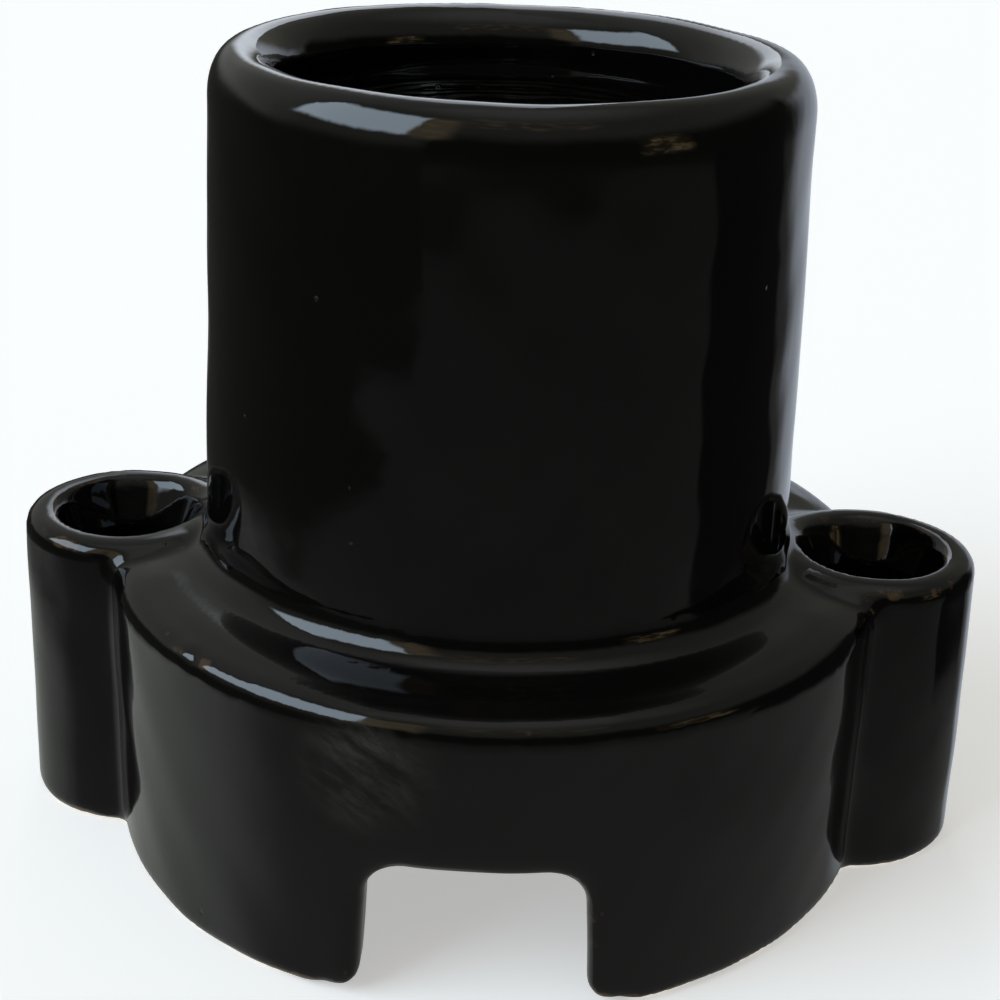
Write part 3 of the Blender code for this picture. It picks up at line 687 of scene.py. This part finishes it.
def spring_washer_tree():
    """Spring washers: a square wire bent to a ring, cut through and slightly sprung."""
    sizes = CIRCLE_SIZES + ("Radius", "Hole Radius", "Thickness", "Split", "Spring")
    tree, given = sizes_tree("spring_washers", sizes)
    middle = times(tree, plus(tree, given["Radius"], given["Hole Radius"]), 0.5)
    width = less(tree, given["Radius"], given["Hole Radius"])
    sweep = less(tree, 2.0 * math.pi, over(tree, given["Split"], middle))
    wire = add_node(tree, "GeometryNodeCurveArc", {"mode": "RADIUS"}, Resolution=56, Radius=middle,
                    Sweep_Angle=sweep).outputs["Curve"]
    along = tree.nodes.new("GeometryNodeSplineParameter").outputs["Factor"]
    rise = times(tree, less(tree, along, 0.5), given["Spring"])
    wire = add_node(tree, "GeometryNodeSetPosition", Geometry=wire, Offset=vector(tree, Z=rise)).outputs[0]
    wire = add_node(tree, "GeometryNodeSetCurveNormal", {"mode": "Z_UP"}, Curve=wire).outputs[0]
    section = add_node(tree, "GeometryNodeCurvePrimitiveQuadrilateral", {"mode": "RECTANGLE"}, Width=width,
                       Height=less(tree, given["Thickness"], given["Spring"])).outputs[0]
    section = add_node(tree, "GeometryNodeFilletCurve", {"mode": "POLY"}, Curve=section, Count=3,
                       Radius=0.00008).outputs[0]
    ring = add_node(tree, "GeometryNodeCurveToMesh", Curve=wire, Profile_Curve=section,
                    Fill_Caps=True).outputs[0]
    ring = lift(tree, ring, times(tree, given["Thickness"], 0.5))
    return end_tree(tree, given, put_on_circle(tree, given, ring, True))


def nut_tree():
    """Hexagon nuts with chamfered corners and a threaded hole, hanging below their seat."""
    sizes = CIRCLE_SIZES + ("Across Flats", "Height", "Thread Radius", "Pitch", "Thread Depth")
    tree, given = sizes_tree("hexagon_nuts", sizes)
    corner = over(tree, given["Across Flats"], math.sqrt(3.0))
    hexagon = cylinder(tree, 6, corner, given["Height"])
    round_off = cylinder(tree, 60, corner, given["Height"], 24)
    place, x, y, z = split_place(tree)
    out = over(tree, maths(tree, "ABSOLUTE", z), times(tree, given["Height"], 0.5))
    bevelled = less(tree, 1.001, times(tree, soft_step(tree, out, 0.55, 1.4), 0.22))
    round_off = scale_radius(tree, round_off, place, bevelled)
    body = combine_solids(tree, "INTERSECT", hexagon, round_off)
    rows = times(tree, over(tree, given["Height"], given["Pitch"]), 10.0)
    hole = cylinder(tree, 24, given["Thread Radius"], times(tree, given["Height"], 1.2), rows)
    wave = thread_wave(tree, x, y, z, given["Pitch"])
    cut = times(tree, wave, over(tree, given["Thread Depth"], given["Thread Radius"]))
    hole = scale_radius(tree, hole, place, less(tree, 1.0, cut))
    body = combine_solids(tree, "DIFFERENCE", body, hole)
    body = lift(tree, body, times(tree, given["Height"], -0.5))
    return end_tree(tree, given, put_on_circle(tree, given, body, False))


def rolled_thread_tree():
    """Round thread rolled into a plain sheet wall, fading out at the floor and at the bead."""
    tree, given = sizes_tree("rolled_thread", ("Pitch", "Depth", "Low", "High", "Fade"))
    place, x, y, z = split_place(tree)
    starts = soft_step(tree, z, given["Low"], plus(tree, given["Low"], given["Fade"]))
    stops = soft_step(tree, z, given["High"], less(tree, given["High"], given["Fade"]))
    wave = times(tree, thread_wave(tree, x, y, z, given["Pitch"]), times(tree, starts, stops))
    radius = maths(tree, "SQRT", plus(tree, times(tree, x, x), times(tree, y, y)))
    cut = over(tree, times(tree, wave, given["Depth"]), radius)
    wall = scale_radius(tree, given["Geometry"], place, less(tree, 1.0, cut))
    return end_tree(tree, given, wall)


# Mesh tools for the metal pieces.

def settle(piece, material, edge_angle=32.0):
    """Apply a piece's modifiers, close its seams, turn its faces out and shade it."""
    mesh = applied(piece)
    piece.modifiers.clear()
    tidy = bmesh.new()
    tidy.from_mesh(mesh)
    bmesh.ops.remove_doubles(tidy, verts=tidy.verts, dist=2e-6)
    bmesh.ops.dissolve_degenerate(tidy, edges=tidy.edges, dist=1e-6)
    bmesh.ops.recalc_face_normals(tidy, faces=tidy.faces)
    tidy.to_mesh(mesh)
    tidy.free()
    mesh.materials.clear()
    mesh.materials.append(material)
    mesh.shade_smooth()
    mesh.set_sharp_from_angle(angle=math.radians(edge_angle))
    piece.data = mesh
    return piece


def grow(name, tree, sizes, material, start=None):
    """Run a geometry tree with sizes in metres and radians, and keep the result as a plain mesh."""
    piece = start or link_piece(name, bpy.data.meshes.new(name))
    change = piece.modifiers.new("grow", "NODES")
    change.node_group = tree
    for item in tree.interface.items_tree:
        if item.in_out == "INPUT" and item.name in sizes:
            change[item.identifier] = sizes[item.name]
        elif item.in_out == "INPUT" and item.name == "Material":
            change[item.identifier] = material
    return settle(piece, material)


def turned(name, profile, steps, closed=True):
    """Mesh of a profile of (radius, height) in millimetres turned about Z; points on the axis merge."""
    mesh = bpy.data.meshes.new(name)
    rings = []
    points, faces = [], []
    for radius, height in profile:
        if radius < 1e-6:
            rings.append([len(points)] * steps)
            points.append((0.0, 0.0, height * MM))
            continue
        rings.append(list(range(len(points), len(points) + steps)))
        for step in range(steps):
            angle = 2.0 * math.pi * step / steps
            points.append((radius * MM * math.cos(angle), radius * MM * math.sin(angle), height * MM))
    pairs = list(zip(rings, rings[1:]))
    if closed and profile[0][0] > 1e-6:
        pairs.append((rings[-1], rings[0]))
    for upper, lower in pairs:
        for step in range(steps):
            after = (step + 1) % steps
            corners = [upper[step], upper[after], lower[after], lower[step]]
            corners = list(dict.fromkeys(corners))
            if len(corners) > 2:
                faces.append(corners)
    mesh.from_pydata(points, [], faces)
    return link_piece(name, mesh)


def rounded_ring(radius, hole, low, high, edge):
    """Section of a flat ring with rounded edges, going round from the top outer corner."""
    section = []
    for centre, start in (((radius - edge, high - edge), 90.0), ((radius - edge, low + edge), 0.0),
                          ((hole + edge, low + edge), -90.0), ((hole + edge, high - edge), -180.0)):
        section += arc(centre, (edge, edge), start, start - 90.0, 4)
    return section


def bevel(piece, width, segments=3, angle=40.0):
    """Round the edges of a piece sharper than an angle."""
    change = piece.modifiers.new("edges", "BEVEL")
    change.width = width * MM
    change.segments = segments
    change.limit_method = "ANGLE"
    change.angle_limit = math.radians(angle)
    change.harden_normals = False
    return piece


def drill(piece, places, radius, low, high, steps=40):
    """Cut round holes down through a piece at places in millimetres."""
    for x, y in places:
        bit = turned("bit", [(0.0, high), (radius, high), (radius, low), (0.0, low)], steps)
        bit.data.transform(Matrix.Translation((x * MM, y * MM, 0.0)))
        change = piece.modifiers.new("hole", "BOOLEAN")
        change.operation = "DIFFERENCE"
        change.solver = "EXACT"
        change.object = bit
        mesh = applied(piece)
        piece.modifiers.clear()
        piece.data = mesh
        bpy.data.objects.remove(bit)
    return piece


def bar(name, low, high):
    """A rectangular bar between two corners in millimetres."""
    mesh = bpy.data.meshes.new(name)
    shape = bmesh.new()
    bmesh.ops.create_cube(shape, size=1.0)
    size = (Vector(high) - Vector(low)) * MM
    centre = (Vector(high) + Vector(low)) * MM / 2.0
    shape.transform(Matrix.Translation(centre) @ Matrix.Diagonal((*size, 1.0)))
    shape.to_mesh(mesh)
    shape.free()
    return link_piece(name, mesh)


def fit(piece, body, slot, *nodes):
    """Ride a finished piece on its body, in place of its CAD nodes."""
    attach(piece, body)
    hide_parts(*nodes)


# Metal and fibre pieces, built between the corners of the solids they stand for.

SHEET = 0.4
SHELL_CREST_RADIUS = 13.6
SHELL_THREAD_DEPTH = 1.15
SHELL_PITCH = 3.63
SHELL_FLOOR_HOLE_RADIUS = 7.2
DISC_HOLE_RADIUS = 6.3
HEAD_RADIUS = 2.6
SLOT_WIDTH = 0.7
FIXING_SCREW = {"Shank Radius": 1.5 * MM, "Pitch": 0.5 * MM, "Thread Depth": 0.28 * MM}
CLAMP_SCREW = {"Shank Radius": 1.75 * MM, "Pitch": 0.6 * MM, "Thread Depth": 0.33 * MM}
CLAMP_HEAD_RADIUS = 3.0
CLAMP_HOLE_RADIUS = 2.1
STRIP_THICKNESS = 0.5
STRIP_BEND_RADIUS = 2.1
STRIP_FOOT_REACH = 3.6
STRIP_RISE = 12.0


def corners(node):
    """Lowest and highest corners of a CAD node, in millimetres."""
    low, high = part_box(node)
    return [value / MM for value in low], [value / MM for value in high]


def circle_sizes(count, seat, radius=0.0, first=0.0, step=0.0, seed=0):
    """Inputs that place copies on a circle, from millimetres and degrees."""
    return {"Count": count, "Circle Radius": radius * MM, "First Angle": math.radians(first),
            "Angle Step": math.radians(step), "Seat Height": seat * MM, "Seed": seed}


def screws(name, tree, thread, head_radius, head_height, end, place, material):
    """Slotted screws with heads up, from their seat height down to an end height."""
    sizes = {"Head Radius": head_radius * MM, "Head Height": head_height * MM, "Head Edge": 0.35 * MM,
             "Shank Length": place["Seat Height"] - end * MM, "Slot Width": SLOT_WIDTH * MM,
             "Slot Depth": 0.5 * head_height * MM, **thread, **place}
    return grow(name, tree, sizes, material)


def screw_shell(tree, material):
    """Rolled shell: flanged floor, round wall with the lamp thread, and a small bead at its mouth."""
    low, high = corners("screw_shell")
    floor = low[2] + SHEET / 2.0
    top = high[2] - SHEET / 2.0
    corner = 1.0
    turn_in = SHELL_CREST_RADIUS - 0.4
    wall_low, wall_high = floor + 2.4, top - 1.0
    rows = int((wall_high - wall_low) / 0.22)
    profile = [(SHELL_FLOOR_HOLE_RADIUS, floor), (SHELL_FLOOR_HOLE_RADIUS + 1.0, floor)]
    profile += arc((turn_in - corner, floor + corner), (corner, corner), -90.0, 0.0, 8)
    profile += [(SHELL_CREST_RADIUS, wall_low + (wall_high - wall_low) * row / rows)
                for row in range(rows + 1)]
    profile += [(SHELL_CREST_RADIUS + 0.03, top - 0.7), (SHELL_CREST_RADIUS + 0.10, top - 0.4),
                (high[0] - SHEET / 2.0, top)]
    wall = turned("screw_shell_sheet", profile, 168, closed=False)
    sizes = {"Pitch": SHELL_PITCH * MM, "Depth": SHELL_THREAD_DEPTH * MM, "Low": (wall_low - 0.4) * MM,
             "High": (top - 0.6) * MM, "Fade": 2.2 * MM}
    wall = grow("screw_shell_sheet", tree, sizes, material, wall)
    thick = wall.modifiers.new("sheet", "SOLIDIFY")
    thick.thickness = SHEET * MM
    thick.offset = 0.0
    settle(wall, material)
    drill(wall, SCREW_HOLES[1:], SCREW_HOLE_RADIUS, floor - 1.0, floor + 1.0)
    return settle(wall, material)


def insulating_disc(material):
    """Stamped fibre disc with its centre opening and three screw holes."""
    low, high = corners("insulating_disc")
    disc = turned("fibre_disc", rounded_ring(high[0], DISC_HOLE_RADIUS, low[2], high[2], 0.15), 96)
    settle(disc, material)
    drill(disc, SCREW_HOLES[1:], SCREW_HOLE_RADIUS, low[2] - 1.0, high[2] + 1.0)
    return settle(disc, material)


def strip_line(low):
    """Middle line of the contact strip in X and Z: foot, bend, rising leg, crest and turned-down tip."""
    start = low + STRIP_THICKNESS / 2.0
    bend = arc((STRIP_FOOT_REACH, start + STRIP_BEND_RADIUS), (STRIP_BEND_RADIUS, STRIP_BEND_RADIUS),
               -90.0, 90.0 - STRIP_RISE, 28)
    slope = math.tan(math.radians(STRIP_RISE))
    crest = bend[-1][1] + (bend[-1][0] - 0.9) * slope
    line = [bend[-1], (0.9, crest), (-0.9, crest + 0.1), (-3.2, crest - 0.6), (-4.4, crest - 1.6)]
    for _ in range(3):
        softened = [line[0]]
        for (x0, z0), (x1, z1) in zip(line, line[1:]):
            softened += [(0.75 * x0 + 0.25 * x1, 0.75 * z0 + 0.25 * z1),
                         (0.25 * x0 + 0.75 * x1, 0.25 * z0 + 0.75 * z1)]
        line = softened + [line[-1]]
    return [(-3.4, start)] + bend + line[1:]


def centre_contact(material):
    """Folded spring strip with holes for its screw and for the button's rivet."""
    low, high = corners("centre_contact")
    line = strip_line(low[2])
    half_width, half = high[1], STRIP_THICKNESS / 2.0
    points, faces = [], []
    for index, (x, z) in enumerate(line):
        before, after = line[max(index - 1, 0)], line[min(index + 1, len(line) - 1)]
        along = Vector((after[0] - before[0], after[1] - before[1])).normalized()
        for side, face in ((-1, -1), (1, -1), (1, 1), (-1, 1)):
            points.append(((x - along.y * half * face) * MM, side * half_width * MM,
                           (z + along.x * half * face) * MM))
    for ring in range(len(line) - 1):
        first, second = 4 * ring, 4 * ring + 4
        faces += [(first + k, first + (k + 1) % 4, second + (k + 1) % 4, second + k) for k in range(4)]
    faces += [(3, 2, 1, 0), tuple(len(points) - 4 + k for k in range(4))]
    mesh = bpy.data.meshes.new("contact_strip")
    mesh.from_pydata(points, [], faces)
    strip = bevel(link_piece("contact_strip", mesh), 0.10, 2, 60.0)
    settle(strip, material)
    middle = (low[2] + high[2]) / 2.0
    drill(strip, [(0.0, 0.0)], SCREW_HOLE_RADIUS, low[2] - 1.0, middle)
    drill(strip, [(0.0, 0.0)], 0.9, middle, high[2] + 1.0)
    return settle(strip, material)


def contact_button(material):
    """Domed rivet that the lamp's centre contact presses on."""
    low, high = corners("contact_button")
    radius, shank = high[0], 0.7
    under = high[2] - 0.9
    rim = under + 0.36
    profile = arc((0.0, rim), (radius, high[2] - rim), 90.0, 0.0, 14)
    profile += arc((radius - 0.12, under + 0.12), (0.12, 0.12), 0.0, -90.0, 4)
    profile += [(shank, under), (shank, low[2] + 0.1), (shank - 0.1, low[2]), (0.0, low[2])]
    return settle(turned("contact_rivet", profile, 72, closed=False), material)


def drilled_bar(name, node, holes, edge, material):
    """A brass bar or plate filling a CAD node's box, with rounded edges and chamfered holes."""
    low, high = corners(node)
    piece = bevel(bar(name, low, high), edge, 4)
    settle(piece, material)
    for x, y, radius in holes:
        drill(piece, [(x, y)], radius, low[2] - 1.0, high[2] + 1.0, 48)
    return settle(bevel(piece, edge * 0.35, 2, 50.0), material)


def centre_of(node):
    """Middle of a CAD node in plan, in millimetres."""
    low, high = corners(node)
    return (low[0] + high[0]) / 2.0, (low[1] + high[1]) / 2.0


def clamp(side, trees, brass, zinc):
    """Clamp plate, spring washer and screw under one terminal block."""
    x, y = centre_of(f"{side}_clamp_screw")
    plate = drilled_bar(f"{side}_plate", f"{side}_clamp_plate", [(x, y, CLAMP_HOLE_RADIUS)], 0.25, brass)
    fit(plate, f"{side}_clamp", "terminal_brass", f"{side}_clamp_plate")
    low, high = corners(f"{side}_clamp_washer")
    sizes = {"Radius": CLAMP_HEAD_RADIUS * MM, "Hole Radius": CLAMP_HOLE_RADIUS * MM,
             "Thickness": (high[2] - low[2]) * MM, "Split": 0.5 * MM, "Spring": 0.1 * MM}
    washer = grow(f"{side}_spring_washer", trees["washer"],
                  {**sizes, **circle_sizes(1, low[2], seed=5)}, zinc)
    washer.data.transform(Matrix.Translation((x * MM, y * MM, 0.0)))
    fit(washer, f"{side}_clamp", "zinc_plated_steel", f"{side}_clamp_washer")
    low, high = corners(f"{side}_clamp_screw")
    head_height = 2.2
    seat = low[2] + head_height
    screw = screws(f"{side}_screw", trees["screw"], CLAMP_SCREW, CLAMP_HEAD_RADIUS, head_height,
                   seat - high[2], circle_sizes(1, 0.0, seed=9), zinc)
    screw.data.transform(Matrix.Translation((x * MM, y * MM, seat * MM)) @ Matrix.Rotation(math.pi, 4, "X"))
    fit(screw, f"{side}_screw", "zinc_plated_steel", f"{side}_clamp_screw")


def fittings():
    """Every brass, bronze, steel and fibre piece inside the porcelain."""
    plate, bar_brass, zinc = shell_nickel(), turned_brass(), zinc_plate()
    trees = {"screw": screw_tree(), "washer": spring_washer_tree(), "nut": nut_tree()}
    fit(screw_shell(rolled_thread_tree(), plate), "holder", "shell_nickel", "screw_shell")
    fit(insulating_disc(vulcanised_fibre()), "holder", "vulcanised_fibre", "insulating_disc")
    strip = centre_contact(phosphor_bronze())
    fit(strip, "holder", "phosphor_bronze", "centre_contact")
    low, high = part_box("centre_contact")
    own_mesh(strip)
    fit(contact_button(nickel_plate()), "button", "button_nickel", "contact_button")

    head_low = corners("shell_washer_1")[1][2] + 0.3
    head_height = corners("shell_screw_1")[1][2] - head_low
    for name, nodes, first in (("shell_screws", ("shell_screw_2", "shell_screw_3"), 60.0),
                               ("neutral_fixing_screw", ("shell_screw_1",), 180.0)):
        end = corners(nodes[0])[0][2]
        place = circle_sizes(len(nodes), head_low, SHELL_SCREW_CIRCLE, first, -120.0, len(nodes))
        piece = screws(name, trees["screw"], FIXING_SCREW, HEAD_RADIUS, head_height, end, place, zinc)
        fit(piece, "holder", "zinc_plated_steel", *nodes)
    low, high = corners("shell_washer_1")
    sizes = {"Radius": HEAD_RADIUS * MM, "Hole Radius": SCREW_HOLE_RADIUS * MM,
             "Thickness": (high[2] - low[2]) * MM, "Split": 0.5 * MM, "Spring": 0.12 * MM}
    place = circle_sizes(3, low[2], SHELL_SCREW_CIRCLE, 180.0, -120.0, 3)
    fit(grow("shell_spring_washers", trees["washer"], {**sizes, **place}, zinc), "holder",
        "zinc_plated_steel", "shell_washer_1", "shell_washer_2", "shell_washer_3")
    low, high = corners("shell_nut_2")
    sizes = {"Across Flats": 5.5 * MM, "Height": (high[2] - low[2]) * MM, "Pitch": 0.5 * MM,
             "Thread Radius": SCREW_HOLE_RADIUS * MM, "Thread Depth": 0.22 * MM}
    place = circle_sizes(2, high[2], SHELL_SCREW_CIRCLE, 60.0, -120.0)
    fit(grow("shell_nuts", trees["nut"], {**sizes, **place}, zinc), "holder", "zinc_plated_steel",
        "shell_nut_2", "shell_nut_3")

    low, high = corners("centre_washer")
    washer = turned("plain_washer", rounded_ring(high[0], SCREW_HOLE_RADIUS, low[2], high[2], 0.08), 64)
    fit(settle(washer, zinc), "holder", "zinc_plated_steel", "centre_washer")
    seat = high[2] + 0.3
    low, high = corners("centre_screw")
    piece = screws("live_fixing_screw", trees["screw"], FIXING_SCREW, HEAD_RADIUS, high[2] - seat, low[2],
                   circle_sizes(1, seat, seed=2), zinc)
    fit(piece, "holder", "zinc_plated_steel", "centre_screw")

    for side, fixing in (("live", "centre_screw"), ("neutral", "shell_screw_1")):
        holes = [(*centre_of(fixing), SCREW_HOLE_RADIUS), (*centre_of(f"{side}_clamp_screw"),
                                                           CLAMP_HOLE_RADIUS)]
        block = drilled_bar(f"{side}_block", f"{side}_terminal", holes, 0.4, bar_brass)
        fit(block, "holder", "terminal_brass", f"{side}_terminal")
        clamp(side, trees, bar_brass, zinc)


# Camera, floor and light.

CAMERA_PLACE = Vector((7.1, -132.8, 82.7)) * MM
CAMERA_AZIMUTH = 3.0
CAMERA_DOWN = 23.3
CAMERA_ROLL = 2.0
CAMERA_LENS = 69.0
FLOOR_SIDE = 3.0
FLOOR_DROP = 0.00005


def make_camera():
    """Camera close to the front, a little to the right, looking down on the shoulder."""
    data = bpy.data.cameras.new("view")
    data.lens = CAMERA_LENS
    data.sensor_width = 36.0
    data.clip_start = 0.005
    camera = link_piece("view", data)
    turn = Matrix.Rotation(math.radians(CAMERA_AZIMUTH), 4, "Z")
    tilt = Matrix.Rotation(math.radians(90.0 - CAMERA_DOWN), 4, "X")
    roll = Matrix.Rotation(math.radians(CAMERA_ROLL), 4, "Z")
    camera.matrix_world = Matrix.Translation(CAMERA_PLACE) @ turn @ tilt @ roll
    bpy.context.scene.camera = camera


def add_floor():
    """Plain white floor, kept out of mirror reflections so that the table tones of the room show."""
    mesh = bpy.data.meshes.new("floor")
    shape = bmesh.new()
    bmesh.ops.create_grid(shape, x_segments=1, y_segments=1, size=FLOOR_SIDE / 2.0)
    shape.to_mesh(mesh)
    shape.free()
    floor = link_piece("floor", mesh)
    # A hair below the foot, so that the two never lie in the same plane.
    floor.location.z = -FLOOR_DROP
    material, tree, shader = new_material("white_paper")
    feed(tree, shader, Base_Color=hex_colour("#f6f3ee"), Roughness=0.9,
         Emission_Color=(1.0, 1.0, 1.0, 1.0), Emission_Strength=0.45)
    mesh.materials.append(material)
    floor.visible_glossy = False


# Parts of the room as seen from the object: azimuth from the front towards +X and elevation, each as
# lowest, highest and softness in degrees, the radiance, and how patchy the part is.
ROOM = (
    ("front_table", (-180.0, 180.0, 1.0), (-90.0, -10.5, 1.2), (0.100, 0.104, 0.098), 0.0),
    ("near_table", (-180.0, 180.0, 1.0), (-90.0, -27.0, 9.0), (0.190, 0.197, 0.188), 0.0),
    ("lit_table_left", (-165.0, -72.0, 16.0), (-90.0, -25.0, 2.5), (0.40, 0.42, 0.40), 0.0),
    ("wall_left", (-180.0, -93.0, 12.0), (6.0, 78.0, 5.0), (0.32, 0.33, 0.31), 0.0),
    ("dark_front", (-29.0, 132.0, 4.0), (-10.0, 24.0, 9.0), (0.024, 0.024, 0.022), 0.0),
    ("pale_wall_right", (138.0, 180.0, 7.0), (-32.0, 12.0, 4.0), (0.55, 0.60, 0.68), 0.0),
    ("lamp_behind", (-180.0, -166.0, 4.0), (8.0, 48.0, 5.0), (1.5, 1.6, 1.75), 0.0),
    ("window", (-90.0, -35.0, 2.0), (19.0, 52.0, 3.0), (3.5, 4.2, 4.9), 0.0),
    ("window_reveal", (-35.0, -20.0, 4.0), (17.0, 52.0, 5.0), (0.80, 0.64, 0.40), 0.3),
    ("blinds", (-18.0, 40.0, 5.0), (42.0, 60.0, 4.0), (0.55, 0.46, 0.30), 0.9),
    ("low_lamp", (52.0, 72.0, 3.0), (1.0, 20.0, 4.0), (1.0, 0.74, 0.38), 0.9),
    ("object_right", (83.0, 127.0, 1.8), (-26.0, 4.0, 2.5), (0.018, 0.018, 0.020), 0.0),
)
TABLE_SHADOW = (0.036, 0.036, 0.032)


def within(tree, value, low, high, soft):
    """Share by which a direction lies between two angles."""
    rise = 1.0 if low <= -180.0 else soft_step(tree, value, low - soft, low + soft)
    fall = 1.0 if high >= 180.0 else soft_step(tree, value, high + soft, high - soft)
    return times(tree, rise, fall)


def room_light():
    """A dim room with one large window in front on the left and a pale wall behind on the right; the
    camera itself sees a plain pale backdrop."""
    world = bpy.data.worlds.new("room")
    bpy.context.scene.world = world
    world.use_nodes = True
    tree = world.node_tree
    direction = add_node(tree, "ShaderNodeTexCoord").outputs["Generated"]
    parts = add_node(tree, "ShaderNodeSeparateXYZ", Vector=direction).outputs
    backwards = times(tree, parts["Y"], -1.0)
    level_azimuth = maths(tree, "DEGREES", maths(tree, "ARCTAN2", parts["X"], backwards))
    level = maths(tree, "DEGREES", maths(tree, "ARCSINE", parts["Z"]))
    # Edges of what stands in the room are uneven by a degree or two.
    rough = add_node(tree, "ShaderNodeTexNoise", Vector=direction, Scale=4.0, Detail=1.0).outputs["Fac"]
    uneven = times(tree, less(tree, rough, 0.5), 3.0)
    azimuth = plus(tree, level_azimuth, uneven)
    elevation = plus(tree, level, times(tree, uneven, 0.5))
    clumps = add_node(tree, "ShaderNodeTexNoise", Vector=direction, Scale=11.0, Detail=3.0).outputs["Fac"]
    clumps = soft_step(tree, clumps, 0.44, 0.68)
    sky = soft_step(tree, level, 0.0, 12.0)
    light = room_layer(tree, (0.060, 0.061, 0.056), sky, (0.190, 0.188, 0.168))
    light = room_layer(tree, light, soft_step(tree, level, 50.0, 82.0), (0.46, 0.47, 0.45))
    for name, across, up, radiance, patchy in ROOM:
        share = times(tree, within(tree, azimuth, *across), within(tree, elevation, *up))
        if patchy:
            left = plus(tree, times(tree, clumps, patchy), 1.0 - patchy)
            share = times(tree, share, left)
        light = room_layer(tree, light, share, radiance)
        if name == "lit_table_left":
            # The dark end of the table on the left comes lower the further round it is.
            below = add_node(tree, "ShaderNodeMapRange", Value=azimuth, From_Min=-80.0, From_Max=-29.0,
                             To_Min=-22.5, To_Max=-16.5).outputs["Result"]
            depth = less(tree, level, below)
            share = times(tree, soft_step(tree, depth, -1.2, 1.2),
                          within(tree, azimuth, -158.0, -28.0, 1.5))
            share = times(tree, share, soft_step(tree, level, 4.0, -4.0))
            light = room_layer(tree, light, share, TABLE_SHADOW)
    room = tree.nodes["Background"]
    feed(tree, room, Color=light, Strength=1.0)
    backdrop = add_node(tree, "ShaderNodeBackground", Color=hex_colour("#f7f7f6"), Strength=1.0)
    seen = add_node(tree, "ShaderNodeLightPath").outputs["Is Camera Ray"]
    both = add_node(tree, "ShaderNodeMixShader", i0=seen, i1=room.outputs[0], i2=backdrop.outputs[0])
    tree.links.new(both.outputs[0], tree.nodes["World Output"].inputs["Surface"])


def room_layer(tree, under, share, radiance):
    """Lay one radiance over another, or over a socket, by a share."""
    mix = add_node(tree, "ShaderNodeMix", {"data_type": "RGBA"}, i0=share, i7=(*radiance, 1.0))
    if isinstance(under, tuple):
        mix.inputs[6].default_value = (*under, 1.0)
    else:
        tree.links.new(under, mix.inputs[6])
    return mix.outputs[2]


make_camera()
body = porcelain_body()
body.data.materials.append(black_glaze())
fit(body, "holder", "black_glaze", "porcelain_body")
fittings()
add_floor()
room_light()
bpy.context.scene.view_settings.view_transform = "Standard"
